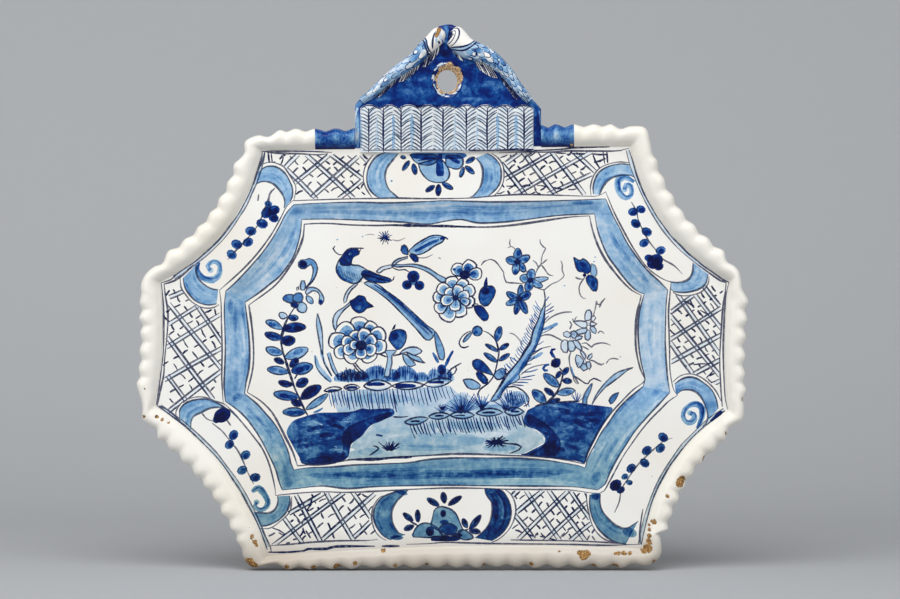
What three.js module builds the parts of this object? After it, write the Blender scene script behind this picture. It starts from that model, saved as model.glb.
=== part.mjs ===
import * as THREE from 'three';

// A tin-glazed earthenware wall plaque: a dished eight-sided slab with a fluted rim, and on its top
// edge a moulded crest of two fish over a row of feathers, pierced for hanging.
// Millimetres. +Z is up and the front faces -Y. The back lies in the plane y = 0.
// Points in the plane of the plaque are [x, z], measured from the middle of the slab.

// Slab

const SLAB_THICKNESS = 9;
const PANEL_RECESS = 2.5;
const BACK_CHAMFER = 1;

// The painted field is an octagon of two sizes each way. The rim rises at its edge.
const FIELD_WIDTH = 300;
const FIELD_HEIGHT = 210;
const FIELD_TOP_LENGTH = 194;
const FIELD_SIDE_LENGTH = 67;

// Sides run clockwise from the top one. The slab was shaped by hand, so the corner at which each
// side starts lies off its true place by the wobble, and the side bows towards the middle.
const SIDE_NAMES = ['top', 'upper_right', 'right', 'lower_right', 'bottom', 'lower_left', 'left', 'upper_left'];
const WOBBLE_X = [0, 0, -0.5, -2, 6, 3, -2, 0];
const WOBBLE_Z = [0.5, 2.5, 3, 1.5, 2.5, 0, 4, 2.5];
const FIELD_BOWS = [0, 10, 2.2, 9.5, 1, 7.5, 2.2, 10.3];

// Flat border between the field's edge and the blue moulding, side by side, and the bow of its inner edge.
const BORDER_WIDTHS = [28.8, 28.1, 31.4, 31.4, 30, 26.4, 34.6, 30.7];
const MOULDING_BOWS = [0, 3.8, 1.5, 3.7, 1.5, 5.6, 1.5, 2.8];

// Hollow moulding that leads down to the middle panel, and the bow of that panel's edge.
const MOULDING_WIDTHS = [9.4, 13.6, 15, 14.6, 12.8, 13.4, 12.3, 10.6];
const PANEL_BOWS = [0, 5.4, 1, 4.8, 1.2, 4.8, 1, 6.2];

const STEPS_PER_SLAB_SIDE = 8;
const MOULDING_STEPS = 4;

// Rim

const RIM_WIDTHS = [9.1, 10.5, 9.9, 11.4, 10.4, 12.9, 11.4, 10.6];
const RIM_RELIEF = 5.8;
const LOBE_PITCH = 10.3;
const LOBE_DEPTH = 1.6;
const FLUTE_DEPTH = 1.1;
const CORNER_REACH = 12;
const CORNER_PULL = 0.17;
const STEPS_PER_LOBE = 4;

// Pieces luted together with slip keep this much room for it.
const LUTE_GAP = 0.3;

// Crest

const CREST_LEFT = -47.9;
const CREST_RIGHT = 50;
const CREST_THICKNESS = 9;
const LEFT_SHOULDER_HEIGHT = 22;
const RIGHT_SHOULDER_HEIGHT = 20;
const APEX_HEIGHT = 63.4;
const APEX_LEFT = -6.5;
const APEX_RIGHT = 9;
const APEX_CROWN = 1.8;
const LEFT_EDGE_BULGE = 1.6;
const RIGHT_EDGE_BULGE = 4.5;
const STEPS_PER_CREST_EDGE = 12;

const HOLE_WIDTH = 10.8;
const HOLE_HEIGHT = 12;
const HOLE_X = 0.6;
const HOLE_ABOVE_SLAB = 34.6;
const HOLE_SEGMENTS = 28;

const FOOT_LENGTHS = { left: 20.6, right: 17 };
const LOBES_PER_FOOT = 2;

const FEATHER_COUNT = 9;
const FRINGE_LEFT_MARGIN = 2.8;
const FRINGE_RIGHT_MARGIN = 4;
const FRINGE_HEIGHT = 20.4;
const FEATHER_ARCH = 2;
const FRINGE_RELIEF = 2.6;
const STEPS_PER_FEATHER = 6;

// Each fish lies along one sloping edge of the crest, nose at the apex: its width and relief
// at places from the tail, 0, to the nose, 1.
const FISH_OVERHANG = 0.8;
const FISH_GAP = 0.8;
const LEFT_FISH_WIDTHS = [5, 7, 8, 9, 10, 11.5, 7];
const RIGHT_FISH_WIDTHS = [5, 7.5, 9.5, 10.5, 11, 12, 7.5];
const FISH_RELIEFS = [2, 3.2, 4.2, 4.8, 5.4, 6, 3];
const FISH_STATIONS = 14;
const FISH_ARC_STEPS = 8;

const GLAZE = new THREE.MeshStandardMaterial({ color: '#efebe4', roughness: 0.18, metalness: 0 });
const BLUE_GLAZE = new THREE.MeshStandardMaterial({ color: '#2f4f8c', roughness: 0.18, metalness: 0 });
const PALE_BLUE_GLAZE = new THREE.MeshStandardMaterial({ color: '#8fb0cf', roughness: 0.18, metalness: 0 });

// Plane geometry

const add = (a, b) => [a[0] + b[0], a[1] + b[1]];
const subtract = (a, b) => [a[0] - b[0], a[1] - b[1]];
const scale = (a, factor) => [a[0] * factor, a[1] * factor];
const length = (a) => Math.hypot(a[0], a[1]);
const mix = (a, b, t) => add(scale(a, 1 - t), scale(b, t));
const smoothstep = (t) => t * t * (3 - 2 * t);

// The left-hand normal of a clockwise side points away from the middle.
function outwardNormal(direction) {
  return scale([-direction[1], direction[0]], 1 / length(direction));
}

// One side as a shallow arc: its points, its outward normal and its length.
function bowedSide(start, end, bow) {
  const chord = subtract(end, start);
  const inward = scale(outwardNormal(chord), -1);
  const point = (t) => add(mix(start, end, t), scale(inward, bow * 4 * t * (1 - t)));
  const normal = (t) => outwardNormal(add(chord, scale(inward, bow * 4 * (1 - 2 * t))));
  return { start, end, point, normal, length: length(chord) };
}

function sidesFrom(corners, bows) {
  return corners.map((corner, i) => bowedSide(corner, corners[(i + 1) % corners.length], bows[i]));
}

// The corner where two lines cross, each given by a normal and its distance along that normal.
function crossing(normalA, distanceA, normalB, distanceB) {
  const determinant = normalA[0] * normalB[1] - normalA[1] * normalB[0];
  return [
    (distanceA * normalB[1] - distanceB * normalA[1]) / determinant,
    (normalA[0] * distanceB - normalB[0] * distanceA) / determinant,
  ];
}

// Corners of an outline that lies inside another by its own width along each side.
function insetCorners(corners, widths) {
  const lines = corners.map((corner, i) => {
    const normal = outwardNormal(subtract(corners[(i + 1) % corners.length], corner));
    return { normal, distance: normal[0] * corner[0] + normal[1] * corner[1] - widths[i] };
  });
  return lines.map((line, i) => {
    const previous = lines[(i + lines.length - 1) % lines.length];
    return crossing(previous.normal, previous.distance, line.normal, line.distance);
  });
}

function outlinePoints(sides, stepsPerSide) {
  return sides.flatMap((side) =>
    Array.from({ length: stepsPerSide }, (_, step) => side.point(step / stepsPerSide)));
}

// Solids

function ringTriangles(ring) {
  const normal = new THREE.Vector3();
  ring.forEach((point, i) => {
    const next = ring[(i + 1) % ring.length];
    normal.add(new THREE.Vector3().crossVectors(point, next));
  });
  normal.normalize();
  const across = new THREE.Vector3().subVectors(ring[1], ring[0]).normalize();
  const up = new THREE.Vector3().crossVectors(normal, across);
  const flat = ring.map((point) => new THREE.Vector2(point.dot(across), point.dot(up)));
  return THREE.ShapeUtils.triangulateShape(flat, []);
}

function signedVolume(points, triangles) {
  return triangles.reduce((sum, [a, b, c]) =>
    sum + points[a].dot(new THREE.Vector3().crossVectors(points[b], points[c])), 0);
}

// A closed solid through rings of equal count, with its first and last ring closed flat.
function loft(rings) {
  const count = rings[0].length;
  const points = rings.flat();
  const triangles = [];
  for (let r = 0; r + 1 < rings.length; r += 1) {
    for (let i = 0; i < count; i += 1) {
      const a = r * count + i;
      const b = r * count + (i + 1) % count;
      triangles.push([a, b, b + count], [a, b + count, a + count]);
    }
  }
  const last = (rings.length - 1) * count;
  const firstCap = ringTriangles(rings[0]);
  const lastCap = ringTriangles(rings[rings.length - 1]);
  const edge = new Set(firstCap.flatMap(([a, b, c]) => [`${a},${b}`, `${b},${c}`, `${c},${a}`]));
  const firstRunsForward = edge.has('0,1');
  firstCap.forEach(([a, b, c]) => triangles.push(firstRunsForward ? [a, c, b] : [a, b, c]));
  const lastEdge = new Set(lastCap.flatMap(([a, b, c]) => [`${a},${b}`, `${b},${c}`, `${c},${a}`]));
  const lastRunsForward = lastEdge.has('0,1');
  lastCap.forEach(([a, b, c]) => {
    const turned = lastRunsForward ? [a, b, c] : [a, c, b];
    triangles.push(turned.map((index) => index + last));
  });
  const facesOut = signedVolume(points, triangles) > 0;
  const order = facesOut ? triangles : triangles.map(([a, b, c]) => [a, c, b]);
  const geometry = new THREE.BufferGeometry();
  geometry.setFromPoints(points);
  geometry.setIndex(order.flat());
  geometry.computeVertexNormals();
  return geometry;
}

// A plate of even thickness standing in the plane of the plaque, its back at the depth given.
function plate(outline, holes, back, thickness) {
  const shape = new THREE.Shape(outline.map(([x, z]) => new THREE.Vector2(x, z)));
  shape.holes = holes.map((hole) => new THREE.Path(hole.map(([x, z]) => new THREE.Vector2(x, z))));
  const geometry = new THREE.ExtrudeGeometry(shape, { depth: thickness, bevelEnabled: false });
  geometry.rotateX(Math.PI / 2);
  geometry.translate(0, -back, 0);
  return geometry;
}

function namedMesh(name, geometry, material) {
  const mesh = new THREE.Mesh(geometry, material);
  mesh.name = name;
  return mesh;
}

// The outlines that every piece is placed by

const trueCorners = [
  [-FIELD_TOP_LENGTH / 2, FIELD_HEIGHT / 2], [FIELD_TOP_LENGTH / 2, FIELD_HEIGHT / 2],
  [FIELD_WIDTH / 2, FIELD_SIDE_LENGTH / 2], [FIELD_WIDTH / 2, -FIELD_SIDE_LENGTH / 2],
  [FIELD_TOP_LENGTH / 2, -FIELD_HEIGHT / 2], [-FIELD_TOP_LENGTH / 2, -FIELD_HEIGHT / 2],
  [-FIELD_WIDTH / 2, -FIELD_SIDE_LENGTH / 2], [-FIELD_WIDTH / 2, FIELD_SIDE_LENGTH / 2],
];
const fieldCorners = trueCorners.map((corner, i) => add(corner, [WOBBLE_X[i], WOBBLE_Z[i]]));
const fieldSides = sidesFrom(fieldCorners, FIELD_BOWS);
const mouldingCorners = insetCorners(fieldCorners, BORDER_WIDTHS);
const panelCorners = insetCorners(mouldingCorners, MOULDING_WIDTHS);
const topSide = fieldSides[0];

// How far along the top side a place lies, and the height of that side there.
const alongTop = (x) => (x - topSide.start[0]) / (topSide.end[0] - topSide.start[0]);
const slabTopAt = (x) => topSide.point(alongTop(x))[1];

function slab() {
  const atDepth = (points, depth) => points.map(([x, z]) => new THREE.Vector3(x, -depth, z));
  const outline = (corners, bows) => outlinePoints(sidesFrom(corners, bows), STEPS_PER_SLAB_SIDE);
  const chamferWidths = SIDE_NAMES.map(() => BACK_CHAMFER);
  const edge = outline(fieldCorners, FIELD_BOWS);
  const rings = [
    atDepth(outline(insetCorners(fieldCorners, chamferWidths), FIELD_BOWS), 0),
    atDepth(edge, BACK_CHAMFER),
    atDepth(edge, SLAB_THICKNESS),
  ];
  for (let step = 0; step <= MOULDING_STEPS; step += 1) {
    const t = step / MOULDING_STEPS;
    const corners = mouldingCorners.map((corner, i) => mix(corner, panelCorners[i], t));
    const bows = MOULDING_BOWS.map((bow, i) => bow * (1 - t) + PANEL_BOWS[i] * t);
    rings.push(atDepth(outline(corners, bows), SLAB_THICKNESS - PANEL_RECESS * Math.sin(t * Math.PI / 2)));
  }
  return namedMesh('slab', loft(rings), GLAZE);
}

// Where the outer edge of the rim turns a corner, seen from the field's corner.
function mitre(index) {
  const previous = (index + fieldSides.length - 1) % fieldSides.length;
  const turn = crossing(fieldSides[previous].normal(1), RIM_WIDTHS[previous],
    fieldSides[index].normal(0), RIM_WIDTHS[index]);
  return scale(turn, 1 - CORNER_PULL);
}

const MITRES = fieldSides.map((_, index) => mitre(index));

// The way across the rim at one place: square to the side, turning into the mitre near a corner.
function acrossRim(index, t) {
  const side = fieldSides[index];
  const square = scale(side.normal(t), RIM_WIDTHS[index]);
  const fromStart = smoothstep(Math.min(1, t * side.length / CORNER_REACH));
  const fromEnd = smoothstep(Math.min(1, (1 - t) * side.length / CORNER_REACH));
  const nearStart = mix(MITRES[index], square, fromStart);
  return mix(MITRES[(index + 1) % MITRES.length], nearStart, fromEnd);
}

// The rim's section as places across it, 0 at the foot and 1 at the outer edge, and the relief there.
// Flutes cut deeper towards the outer edge.
function rimSection(index, t, lobe) {
  const foot = fieldSides[index].point(t);
  const across = acrossRim(index, t);
  const width = length(across);
  const outward = scale(across, 1 / width);
  const flute = FLUTE_DEPTH * (1 - lobe);
  const reach = width + LOBE_DEPTH * lobe;
  const front = SLAB_THICKNESS;
  const section = [
    [LUTE_GAP, 0],
    [LUTE_GAP, front],
    [0.2 * reach, front + 0.58 * RIM_RELIEF],
    [0.44 * reach, front + RIM_RELIEF - 0.25 * flute],
    [0.68 * reach, front + 0.94 * RIM_RELIEF - 0.6 * flute],
    [0.88 * reach, front + 0.52 * RIM_RELIEF - flute],
    [reach, front - 0.15 * RIM_RELIEF - flute],
    [0.97 * reach, 0.3 * front],
    [0.86 * reach, 0],
  ];
  return section.map(([outwards, depth]) => {
    const [x, z] = add(foot, scale(outward, outwards));
    return new THREE.Vector3(x, -depth, z);
  });
}

// A length of rim between two places along one side. Lobes are counted over that length,
// and a half lobe at each end makes a whole one with its neighbour.
function rimLength(index, from, to, lobes) {
  const rings = [];
  const steps = lobes * STEPS_PER_LOBE;
  for (let step = 0; step <= steps; step += 1) {
    const lobe = Math.abs(Math.cos(Math.PI * step / STEPS_PER_LOBE));
    rings.push(rimSection(index, from + (to - from) * step / steps, lobe));
  }
  return loft(rings);
}

function rim() {
  const group = new THREE.Group();
  const lengthOfRim = (name, index, from, to) => {
    const run = (to - from) * fieldSides[index].length;
    const lobes = Math.max(1, Math.round(run / LOBE_PITCH));
    group.add(namedMesh(name, rimLength(index, from, to, lobes), GLAZE));
  };
  const halfGap = (index) => LUTE_GAP / fieldSides[index].length;
  const leftFootEnd = alongTop(CREST_LEFT - LUTE_GAP - FOOT_LENGTHS.left);
  const rightFootEnd = alongTop(CREST_RIGHT + LUTE_GAP + FOOT_LENGTHS.right);
  lengthOfRim('rim_top_left', 0, halfGap(0), leftFootEnd - halfGap(0));
  lengthOfRim('rim_top_right', 0, rightFootEnd + halfGap(0), 1 - halfGap(0));
  for (let index = 1; index < SIDE_NAMES.length; index += 1) {
    lengthOfRim(`rim_${SIDE_NAMES[index]}`, index, halfGap(index), 1 - halfGap(index));
  }
  return group;
}

// Blue lobes of the rim that the crest stands between.
function crestFeet() {
  const group = new THREE.Group();
  const foot = (name, from, to) => {
    const geometry = rimLength(0, alongTop(from), alongTop(to), LOBES_PER_FOOT);
    group.add(namedMesh(name, geometry, BLUE_GLAZE));
  };
  foot('crest_foot_left', CREST_LEFT - LUTE_GAP - FOOT_LENGTHS.left, CREST_LEFT - LUTE_GAP);
  foot('crest_foot_right', CREST_RIGHT + LUTE_GAP, CREST_RIGHT + LUTE_GAP + FOOT_LENGTHS.right);
  return group;
}

// Heights in the crest count from the slab's top edge under its middle.
const crestBase = slabTopAt((CREST_LEFT + CREST_RIGHT) / 2) + LUTE_GAP;
const holeCentre = [HOLE_X, crestBase + HOLE_ABOVE_SLAB];

// The two sloping edges, each from its shoulder up to the apex. Both bulge away from the middle.
const leftSlope = bowedSide([CREST_LEFT, crestBase + LEFT_SHOULDER_HEIGHT],
  [APEX_LEFT, crestBase + APEX_HEIGHT], -LEFT_EDGE_BULGE);
const rightSlope = bowedSide([CREST_RIGHT, crestBase + RIGHT_SHOULDER_HEIGHT],
  [APEX_RIGHT, crestBase + APEX_HEIGHT], RIGHT_EDGE_BULGE);

function crestBoard() {
  const steps = Array.from({ length: STEPS_PER_CREST_EDGE + 1 }, (_, i) => i / STEPS_PER_CREST_EDGE);
  const crown = bowedSide(leftSlope.end, rightSlope.end, -APEX_CROWN);
  const outline = [
    [CREST_LEFT, slabTopAt(CREST_LEFT) + LUTE_GAP],
    ...steps.map((t) => leftSlope.point(t)),
    crown.point(0.25), crown.point(0.5), crown.point(0.75),
    ...steps.map((t) => rightSlope.point(1 - t)),
    [CREST_RIGHT, slabTopAt(CREST_RIGHT) + LUTE_GAP],
  ];
  const hole = Array.from({ length: HOLE_SEGMENTS }, (_, i) => {
    const angle = 2 * Math.PI * i / HOLE_SEGMENTS;
    return add(holeCentre, [HOLE_WIDTH / 2 * Math.cos(angle), HOLE_HEIGHT / 2 * Math.sin(angle)]);
  });
  return namedMesh('crest_board', plate(outline, [hole], 0, CREST_THICKNESS), BLUE_GLAZE);
}

// A row of upright feathers with round tops, as one moulded strip on the crest board.
function featherFringe() {
  const left = CREST_LEFT + FRINGE_LEFT_MARGIN;
  const right = CREST_RIGHT - FRINGE_RIGHT_MARGIN;
  const outline = [[left, slabTopAt(left) + LUTE_GAP]];
  const steps = FEATHER_COUNT * STEPS_PER_FEATHER;
  for (let step = 0; step <= steps; step += 1) {
    const arch = Math.abs(Math.sin(Math.PI * step / STEPS_PER_FEATHER));
    outline.push([left + (right - left) * step / steps, crestBase + FRINGE_HEIGHT + FEATHER_ARCH * arch]);
  }
  outline.push([right, slabTopAt(right) + LUTE_GAP]);
  return namedMesh('feather_fringe', plate(outline, [], CREST_THICKNESS, FRINGE_RELIEF), GLAZE);
}

// A value read from an even row of values, at a place from 0 to 1.
function along(values, t) {
  const place = Math.min(t * (values.length - 1), values.length - 1.000001);
  const index = Math.floor(place);
  return values[index] + (values[index + 1] - values[index]) * (place - index);
}

// A half-round body whose outer flank follows a sloping edge of the crest, from just above
// the feathers to the apex.
function fish(name, slope, towardsMiddle, widths) {
  const rings = [];
  const inward = (t) => scale(slope.normal(t), towardsMiddle);
  const tailDrop = (widths[0] - FISH_OVERHANG) * Math.abs(inward(0)[1]);
  const tailHeight = crestBase + FRINGE_HEIGHT + FEATHER_ARCH + FISH_GAP + tailDrop;
  const tail = (tailHeight - slope.start[1]) / (slope.end[1] - slope.start[1]);
  for (let station = 0; station <= FISH_STATIONS; station += 1) {
    const place = station / FISH_STATIONS;
    const t = tail + (1 - tail) * place;
    const outer = add(slope.point(t), scale(inward(t), -FISH_OVERHANG));
    const width = along(widths, place);
    const relief = along(FISH_RELIEFS, place);
    const ring = [];
    for (let step = 0; step <= FISH_ARC_STEPS; step += 1) {
      const angle = Math.PI * step / FISH_ARC_STEPS;
      const [x, z] = add(outer, scale(inward(t), width * (1 - Math.cos(angle)) / 2));
      ring.push(new THREE.Vector3(x, -CREST_THICKNESS - relief * Math.sin(angle), z));
    }
    rings.push(ring);
  }
  return namedMesh(name, loft(rings), PALE_BLUE_GLAZE);
}

const plaque = new THREE.Group();
plaque.add(
  slab(),
  rim(),
  crestFeet(),
  crestBoard(),
  featherFringe(),
  fish('fish_left', leftSlope, -1, LEFT_FISH_WIDTHS),
  fish('fish_right', rightSlope, 1, RIGHT_FISH_WIDTHS),
);

// The origin is on the back, on the axis of the hanging hole.
plaque.position.set(-holeCentre[0], 0, -holeCentre[1]);

export default plaque;
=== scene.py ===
# %% [markdown]
# # A blue-and-white delftware wall plaque
# The real object is one piece of tin-glazed earthenware: a dished slab with eight sides, a rim that was
# pressed into lobes by thumb, and a crest with two fish over a row of feathers, pierced for a hook.
# The solid model gives every size and place. This script gives it the glazed surface and the painting,
# so it starts by loading that model as a fixed frame and noting its box.

# %% Load the frame
import math
import random

import bpy
import numpy as np
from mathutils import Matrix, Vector
from mathutils.geometry import delaunay_2d_cdt


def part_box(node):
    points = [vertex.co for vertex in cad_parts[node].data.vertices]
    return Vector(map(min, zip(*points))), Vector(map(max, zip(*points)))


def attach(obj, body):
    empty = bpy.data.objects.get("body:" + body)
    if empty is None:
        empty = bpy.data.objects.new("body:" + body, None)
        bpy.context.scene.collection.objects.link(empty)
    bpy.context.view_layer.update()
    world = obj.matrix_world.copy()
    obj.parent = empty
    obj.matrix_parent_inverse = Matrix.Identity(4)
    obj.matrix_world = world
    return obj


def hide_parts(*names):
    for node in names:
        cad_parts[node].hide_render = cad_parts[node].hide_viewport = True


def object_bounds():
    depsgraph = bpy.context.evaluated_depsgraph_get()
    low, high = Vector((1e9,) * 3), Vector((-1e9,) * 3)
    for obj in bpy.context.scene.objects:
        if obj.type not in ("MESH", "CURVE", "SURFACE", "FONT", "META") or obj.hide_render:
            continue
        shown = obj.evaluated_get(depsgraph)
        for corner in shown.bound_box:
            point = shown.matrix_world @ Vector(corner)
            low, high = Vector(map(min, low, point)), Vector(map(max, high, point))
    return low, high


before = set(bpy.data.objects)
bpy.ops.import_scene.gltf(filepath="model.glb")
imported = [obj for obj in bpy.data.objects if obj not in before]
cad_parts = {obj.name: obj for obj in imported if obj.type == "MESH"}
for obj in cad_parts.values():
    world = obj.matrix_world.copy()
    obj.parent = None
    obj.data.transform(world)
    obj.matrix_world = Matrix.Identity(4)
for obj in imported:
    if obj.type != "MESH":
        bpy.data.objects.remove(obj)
cad_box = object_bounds()
bpy.ops.object.select_all(action="DESELECT")
print("solids in the frame:", len(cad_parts))

# %% [markdown]
# ## One measuring system
# All drawing is done in millimetres in the plane of the plaque, measured from the middle of the slab,
# with x to the right and z up. Depth is counted forwards from the back. The frame has its origin
# at the hanging hole, so one function turns a drawing place into a place in the frame.

# %% Drawing places and frame places
MM = 0.001
SLAB_LOW_X = -152
SLAB_LOW_Z = -105
slab_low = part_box("slab")[0]
origin = Vector((slab_low.x - SLAB_LOW_X * MM, 0, slab_low.z - SLAB_LOW_Z * MM))


def place(x, depth, z):
    """The point in the frame for a place in the drawing."""
    return (origin.x + x * MM, -depth * MM, origin.z + z * MM)


def drawing_xz(point):
    """The place in the drawing of a point in the frame."""
    return ((point[0] - origin.x) / MM, (point[2] - origin.z) / MM)


print("middle of the slab:", [round(v, 4) for v in origin])

# %% [markdown]
# ## The outlines of the slab
# The slab steps down in two stages: a flat border, then a hollow moulding, then a flat panel.
# Their outlines are read from the solid's own corners, so the painted surface always fits it.
# Each of the eight sides is a shallow arc, which its two ends and its middle define.

# %% Outlines read from the solid
SIDES = 8
STEPS_PER_SIDE = 8
FINE_STEPS = 14
BORDER_DEPTH = 9
PANEL_DEPTH = 6.5


def ring_at(node, depth):
    """Places of a node's corners at one depth, in clockwise order around the middle."""
    places = set()
    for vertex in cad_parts[node].data.vertices:
        if abs(-vertex.co.y / MM - depth) < 0.01:
            x, z = drawing_xz(vertex.co)
            places.add((round(x, 2), round(z, 2)))
    return sorted(places, key=lambda p: -math.atan2(p[1], p[0]))


def arc_side(start, middle, end):
    """A side's shallow arc as a function of the way along it, from 0 to 1."""
    start, middle, end = (np.array(p) for p in (start, middle, end))
    bend = 4 * middle - 2 * (start + end)
    return lambda t: start * (1 - t) + end * t + bend * t * (1 - t)


def split_sides(ring):
    """The eight sides of a ring, starting with the top one."""
    def turn(i):
        a, b, c = (np.array(ring[(i + k) % len(ring)]) for k in (-1, 0, 1))
        u, v = b - a, c - b
        return abs(math.atan2(u[0] * v[1] - u[1] * v[0], u @ v))
    corners = sorted(sorted(range(len(ring)), key=turn)[-SIDES:])
    top_left = max(corners, key=lambda i: ring[i][1] - 0.3 * ring[i][0])
    at = corners.index(top_left)
    corners = corners[at:] + corners[:at]
    sides = []
    for i in corners:
        middle = ring[(i + STEPS_PER_SIDE // 2) % len(ring)]
        sides.append(arc_side(ring[i], middle, ring[(i + STEPS_PER_SIDE) % len(ring)]))
    return sides


def outline(sides, steps=FINE_STEPS):
    return [tuple(side(k / steps)) for side in sides for k in range(steps)]


edge_ring = ring_at("slab", 1)
front_ring = ring_at("slab", BORDER_DEPTH)
moulding_ring = [p for p in front_ring if min(math.dist(p, q) for q in edge_ring) > 2]
solid_sides = split_sides(edge_ring)
# The painter took the border a little over the slab's edge at the foot and the left, on to the rim.
CORNER_SHIFTS = ((0, 0), (0, 0), (0, 0), (1.2, 0), (1, -2.6), (-0.3, -4.1), (-2.2, 0), (-1, 0))
MIDDLE_SHIFTS = ((0, 0), (0, 0), (0.5, 0), (1, -0.5), (0, -1.1), (-0.5, -0.3), (-1, 0), (-0.3, 0))
field_sides = [
    arc_side(side(0) + CORNER_SHIFTS[i], side(0.5) + MIDDLE_SHIFTS[i],
             side(1) + CORNER_SHIFTS[(i + 1) % SIDES])
    for i, side in enumerate(solid_sides)]
moulding_sides = split_sides(moulding_ring)
panel_sides = split_sides(ring_at("slab", PANEL_DEPTH))
print("corners read:", len(edge_ring), len(moulding_ring))

# %% [markdown]
# ## The camera, the backdrop and the light
# The photograph was taken square on with a long lens, from slightly above the middle of the plaque,
# in front of a seamless sheet of grey paper that runs from the wall down on to the table. So the
# backdrop is one plane that is bent up once, with a wide bevel for the curve of the paper.

# %% Camera
CAMERA_DISTANCE = 2
CAMERA_ELEVATION = math.radians(2.5)
LENS = 151.9
LOOK_X = 2.1
LOOK_Z = 26.6

target = Vector(place(LOOK_X, BORDER_DEPTH, LOOK_Z))
bpy.ops.object.camera_add()
camera = bpy.context.object
camera.name = "photo_camera"
away = Vector((0, -math.cos(CAMERA_ELEVATION), math.sin(CAMERA_ELEVATION)))
camera.location = target + away * CAMERA_DISTANCE
camera.rotation_euler = (-away).to_track_quat("-Z", "Y").to_euler()
camera.data.lens = LENS
camera.data.sensor_width = 36
bpy.context.scene.camera = camera
bpy.context.scene.view_settings.view_transform = "Standard"
print("camera at", [round(v, 3) for v in camera.location])


# %% Material helpers
def linear(code):
    """An sRGB colour such as #EEEAE4 as the linear numbers that Blender works with."""
    parts = [int(code[i:i + 2], 16) / 255 for i in (1, 3, 5)]
    return tuple(c / 12.92 if c <= 0.04045 else ((c + 0.055) / 1.055) ** 2.4 for c in parts) + (1,)


def add_node(tree, kind, settings=None, inputs=None):
    """Adds a node. Settings are its own options, inputs its sockets: a value, or a socket to link."""
    node = tree.nodes.new(kind)
    for name, value in (settings or {}).items():
        setattr(node, name, value)
    for name, value in (inputs or {}).items():
        if isinstance(value, bpy.types.NodeSocket):
            tree.links.new(value, node.inputs[name])
        else:
            node.inputs[name].default_value = value
    return node


def maths(tree, operation, *values):
    node = add_node(tree, "ShaderNodeMath", {"operation": operation}, dict(enumerate(values)))
    return node.outputs["Value"]


def mapped(tree, value, low, high, to_low=0, to_high=1):
    """A value carried over from one range to another, and kept inside it."""
    node = add_node(tree, "ShaderNodeMapRange", inputs={
        "Value": value, "From Min": low, "From Max": high, "To Min": to_low, "To Max": to_high})
    return node.outputs["Result"]


def blended(tree, share, under, over, mode="MIX"):
    """One colour over another. Each is a colour code, or a socket to link."""
    under, over = (linear(c) if isinstance(c, str) else c for c in (under, over))
    return add_node(tree, "ShaderNodeMix", {"data_type": "RGBA", "blend_type": mode}, {
        "Factor": share, "A": under, "B": over}).outputs["Result"]


def colour_series(tree, value, stops):
    """A colour ramp through stops, each with its place from 0 to 1 and its colour code."""
    node = add_node(tree, "ShaderNodeValToRGB", inputs={"Fac": value})
    elements = node.color_ramp.elements
    for element, (at, colour) in zip(elements, (stops[0], stops[-1])):
        element.position = at
        element.color = linear(colour)
    for at, colour in stops[1:-1]:
        elements.new(at).color = linear(colour)
    return node.outputs["Color"]


def new_material(name):
    """An empty material and its tree, with the surface shader already joined to the output."""
    material = bpy.data.materials.new(name)
    material.use_nodes = True
    shader = material.node_tree.nodes["Principled BSDF"]
    return material, material.node_tree, shader


# %% Paper backdrop
FLOOR_Z = cad_box[0][2]
bpy.ops.mesh.primitive_plane_add(size=1, location=(0, 0, FLOOR_Z))
backdrop = bpy.context.object
backdrop.name = "paper_backdrop"
backdrop.scale = (5, 2.4, 1)
backdrop.location.y = -0.55
bpy.ops.object.transform_apply(location=True, rotation=True, scale=True)
bpy.ops.object.mode_set(mode="EDIT")
bpy.ops.mesh.select_mode(type="EDGE")
bpy.ops.mesh.select_all(action="DESELECT")
bpy.ops.object.mode_set(mode="OBJECT")
for edge in backdrop.data.edges:
    edge.select = all(backdrop.data.vertices[i].co.y > 0.6 for i in edge.vertices)
bpy.ops.object.mode_set(mode="EDIT")
bpy.ops.mesh.extrude_edges_move(TRANSFORM_OT_translate={"value": (0, 0, 2.6)})
bpy.ops.object.mode_set(mode="OBJECT")
curve_of_paper = backdrop.modifiers.new("curve of the paper", "BEVEL")
curve_of_paper.width = 0.4
curve_of_paper.segments = 16
bpy.ops.object.modifier_apply(modifier=curve_of_paper.name)
bpy.ops.object.shade_smooth()

paper, tree, shader = new_material("matt grey background paper")
grain = add_node(tree, "ShaderNodeTexNoise", inputs={"Scale": 1.6, "Detail": 2})
tone = blended(tree, grain.outputs["Fac"], "#ACAEB1", "#B4B6B8")
tree.links.new(tone, shader.inputs["Base Color"])
shader.inputs["Roughness"].default_value = 0.9
shader.inputs["Specular IOR Level"].default_value = 0.1
# The view from behind looks through the back of the paper, which would hide the plaque. Only what
# the camera sees of it is left out: its shade and its bounced light stay as they are.
side_of_paper = add_node(tree, "ShaderNodeNewGeometry")
rays = add_node(tree, "ShaderNodeLightPath")
from_behind = maths(tree, "MULTIPLY", side_of_paper.outputs["Backfacing"], rays.outputs["Is Camera Ray"])
unseen = add_node(tree, "ShaderNodeBsdfTransparent")
seen = add_node(tree, "ShaderNodeMixShader", inputs={
    0: from_behind, 1: shader.outputs["BSDF"], 2: unseen.outputs["BSDF"]})
tree.links.new(seen.outputs["Shader"], tree.nodes["Material Output"].inputs["Surface"])
backdrop.data.materials.append(paper)
print("backdrop faces:", len(backdrop.data.polygons))

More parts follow.
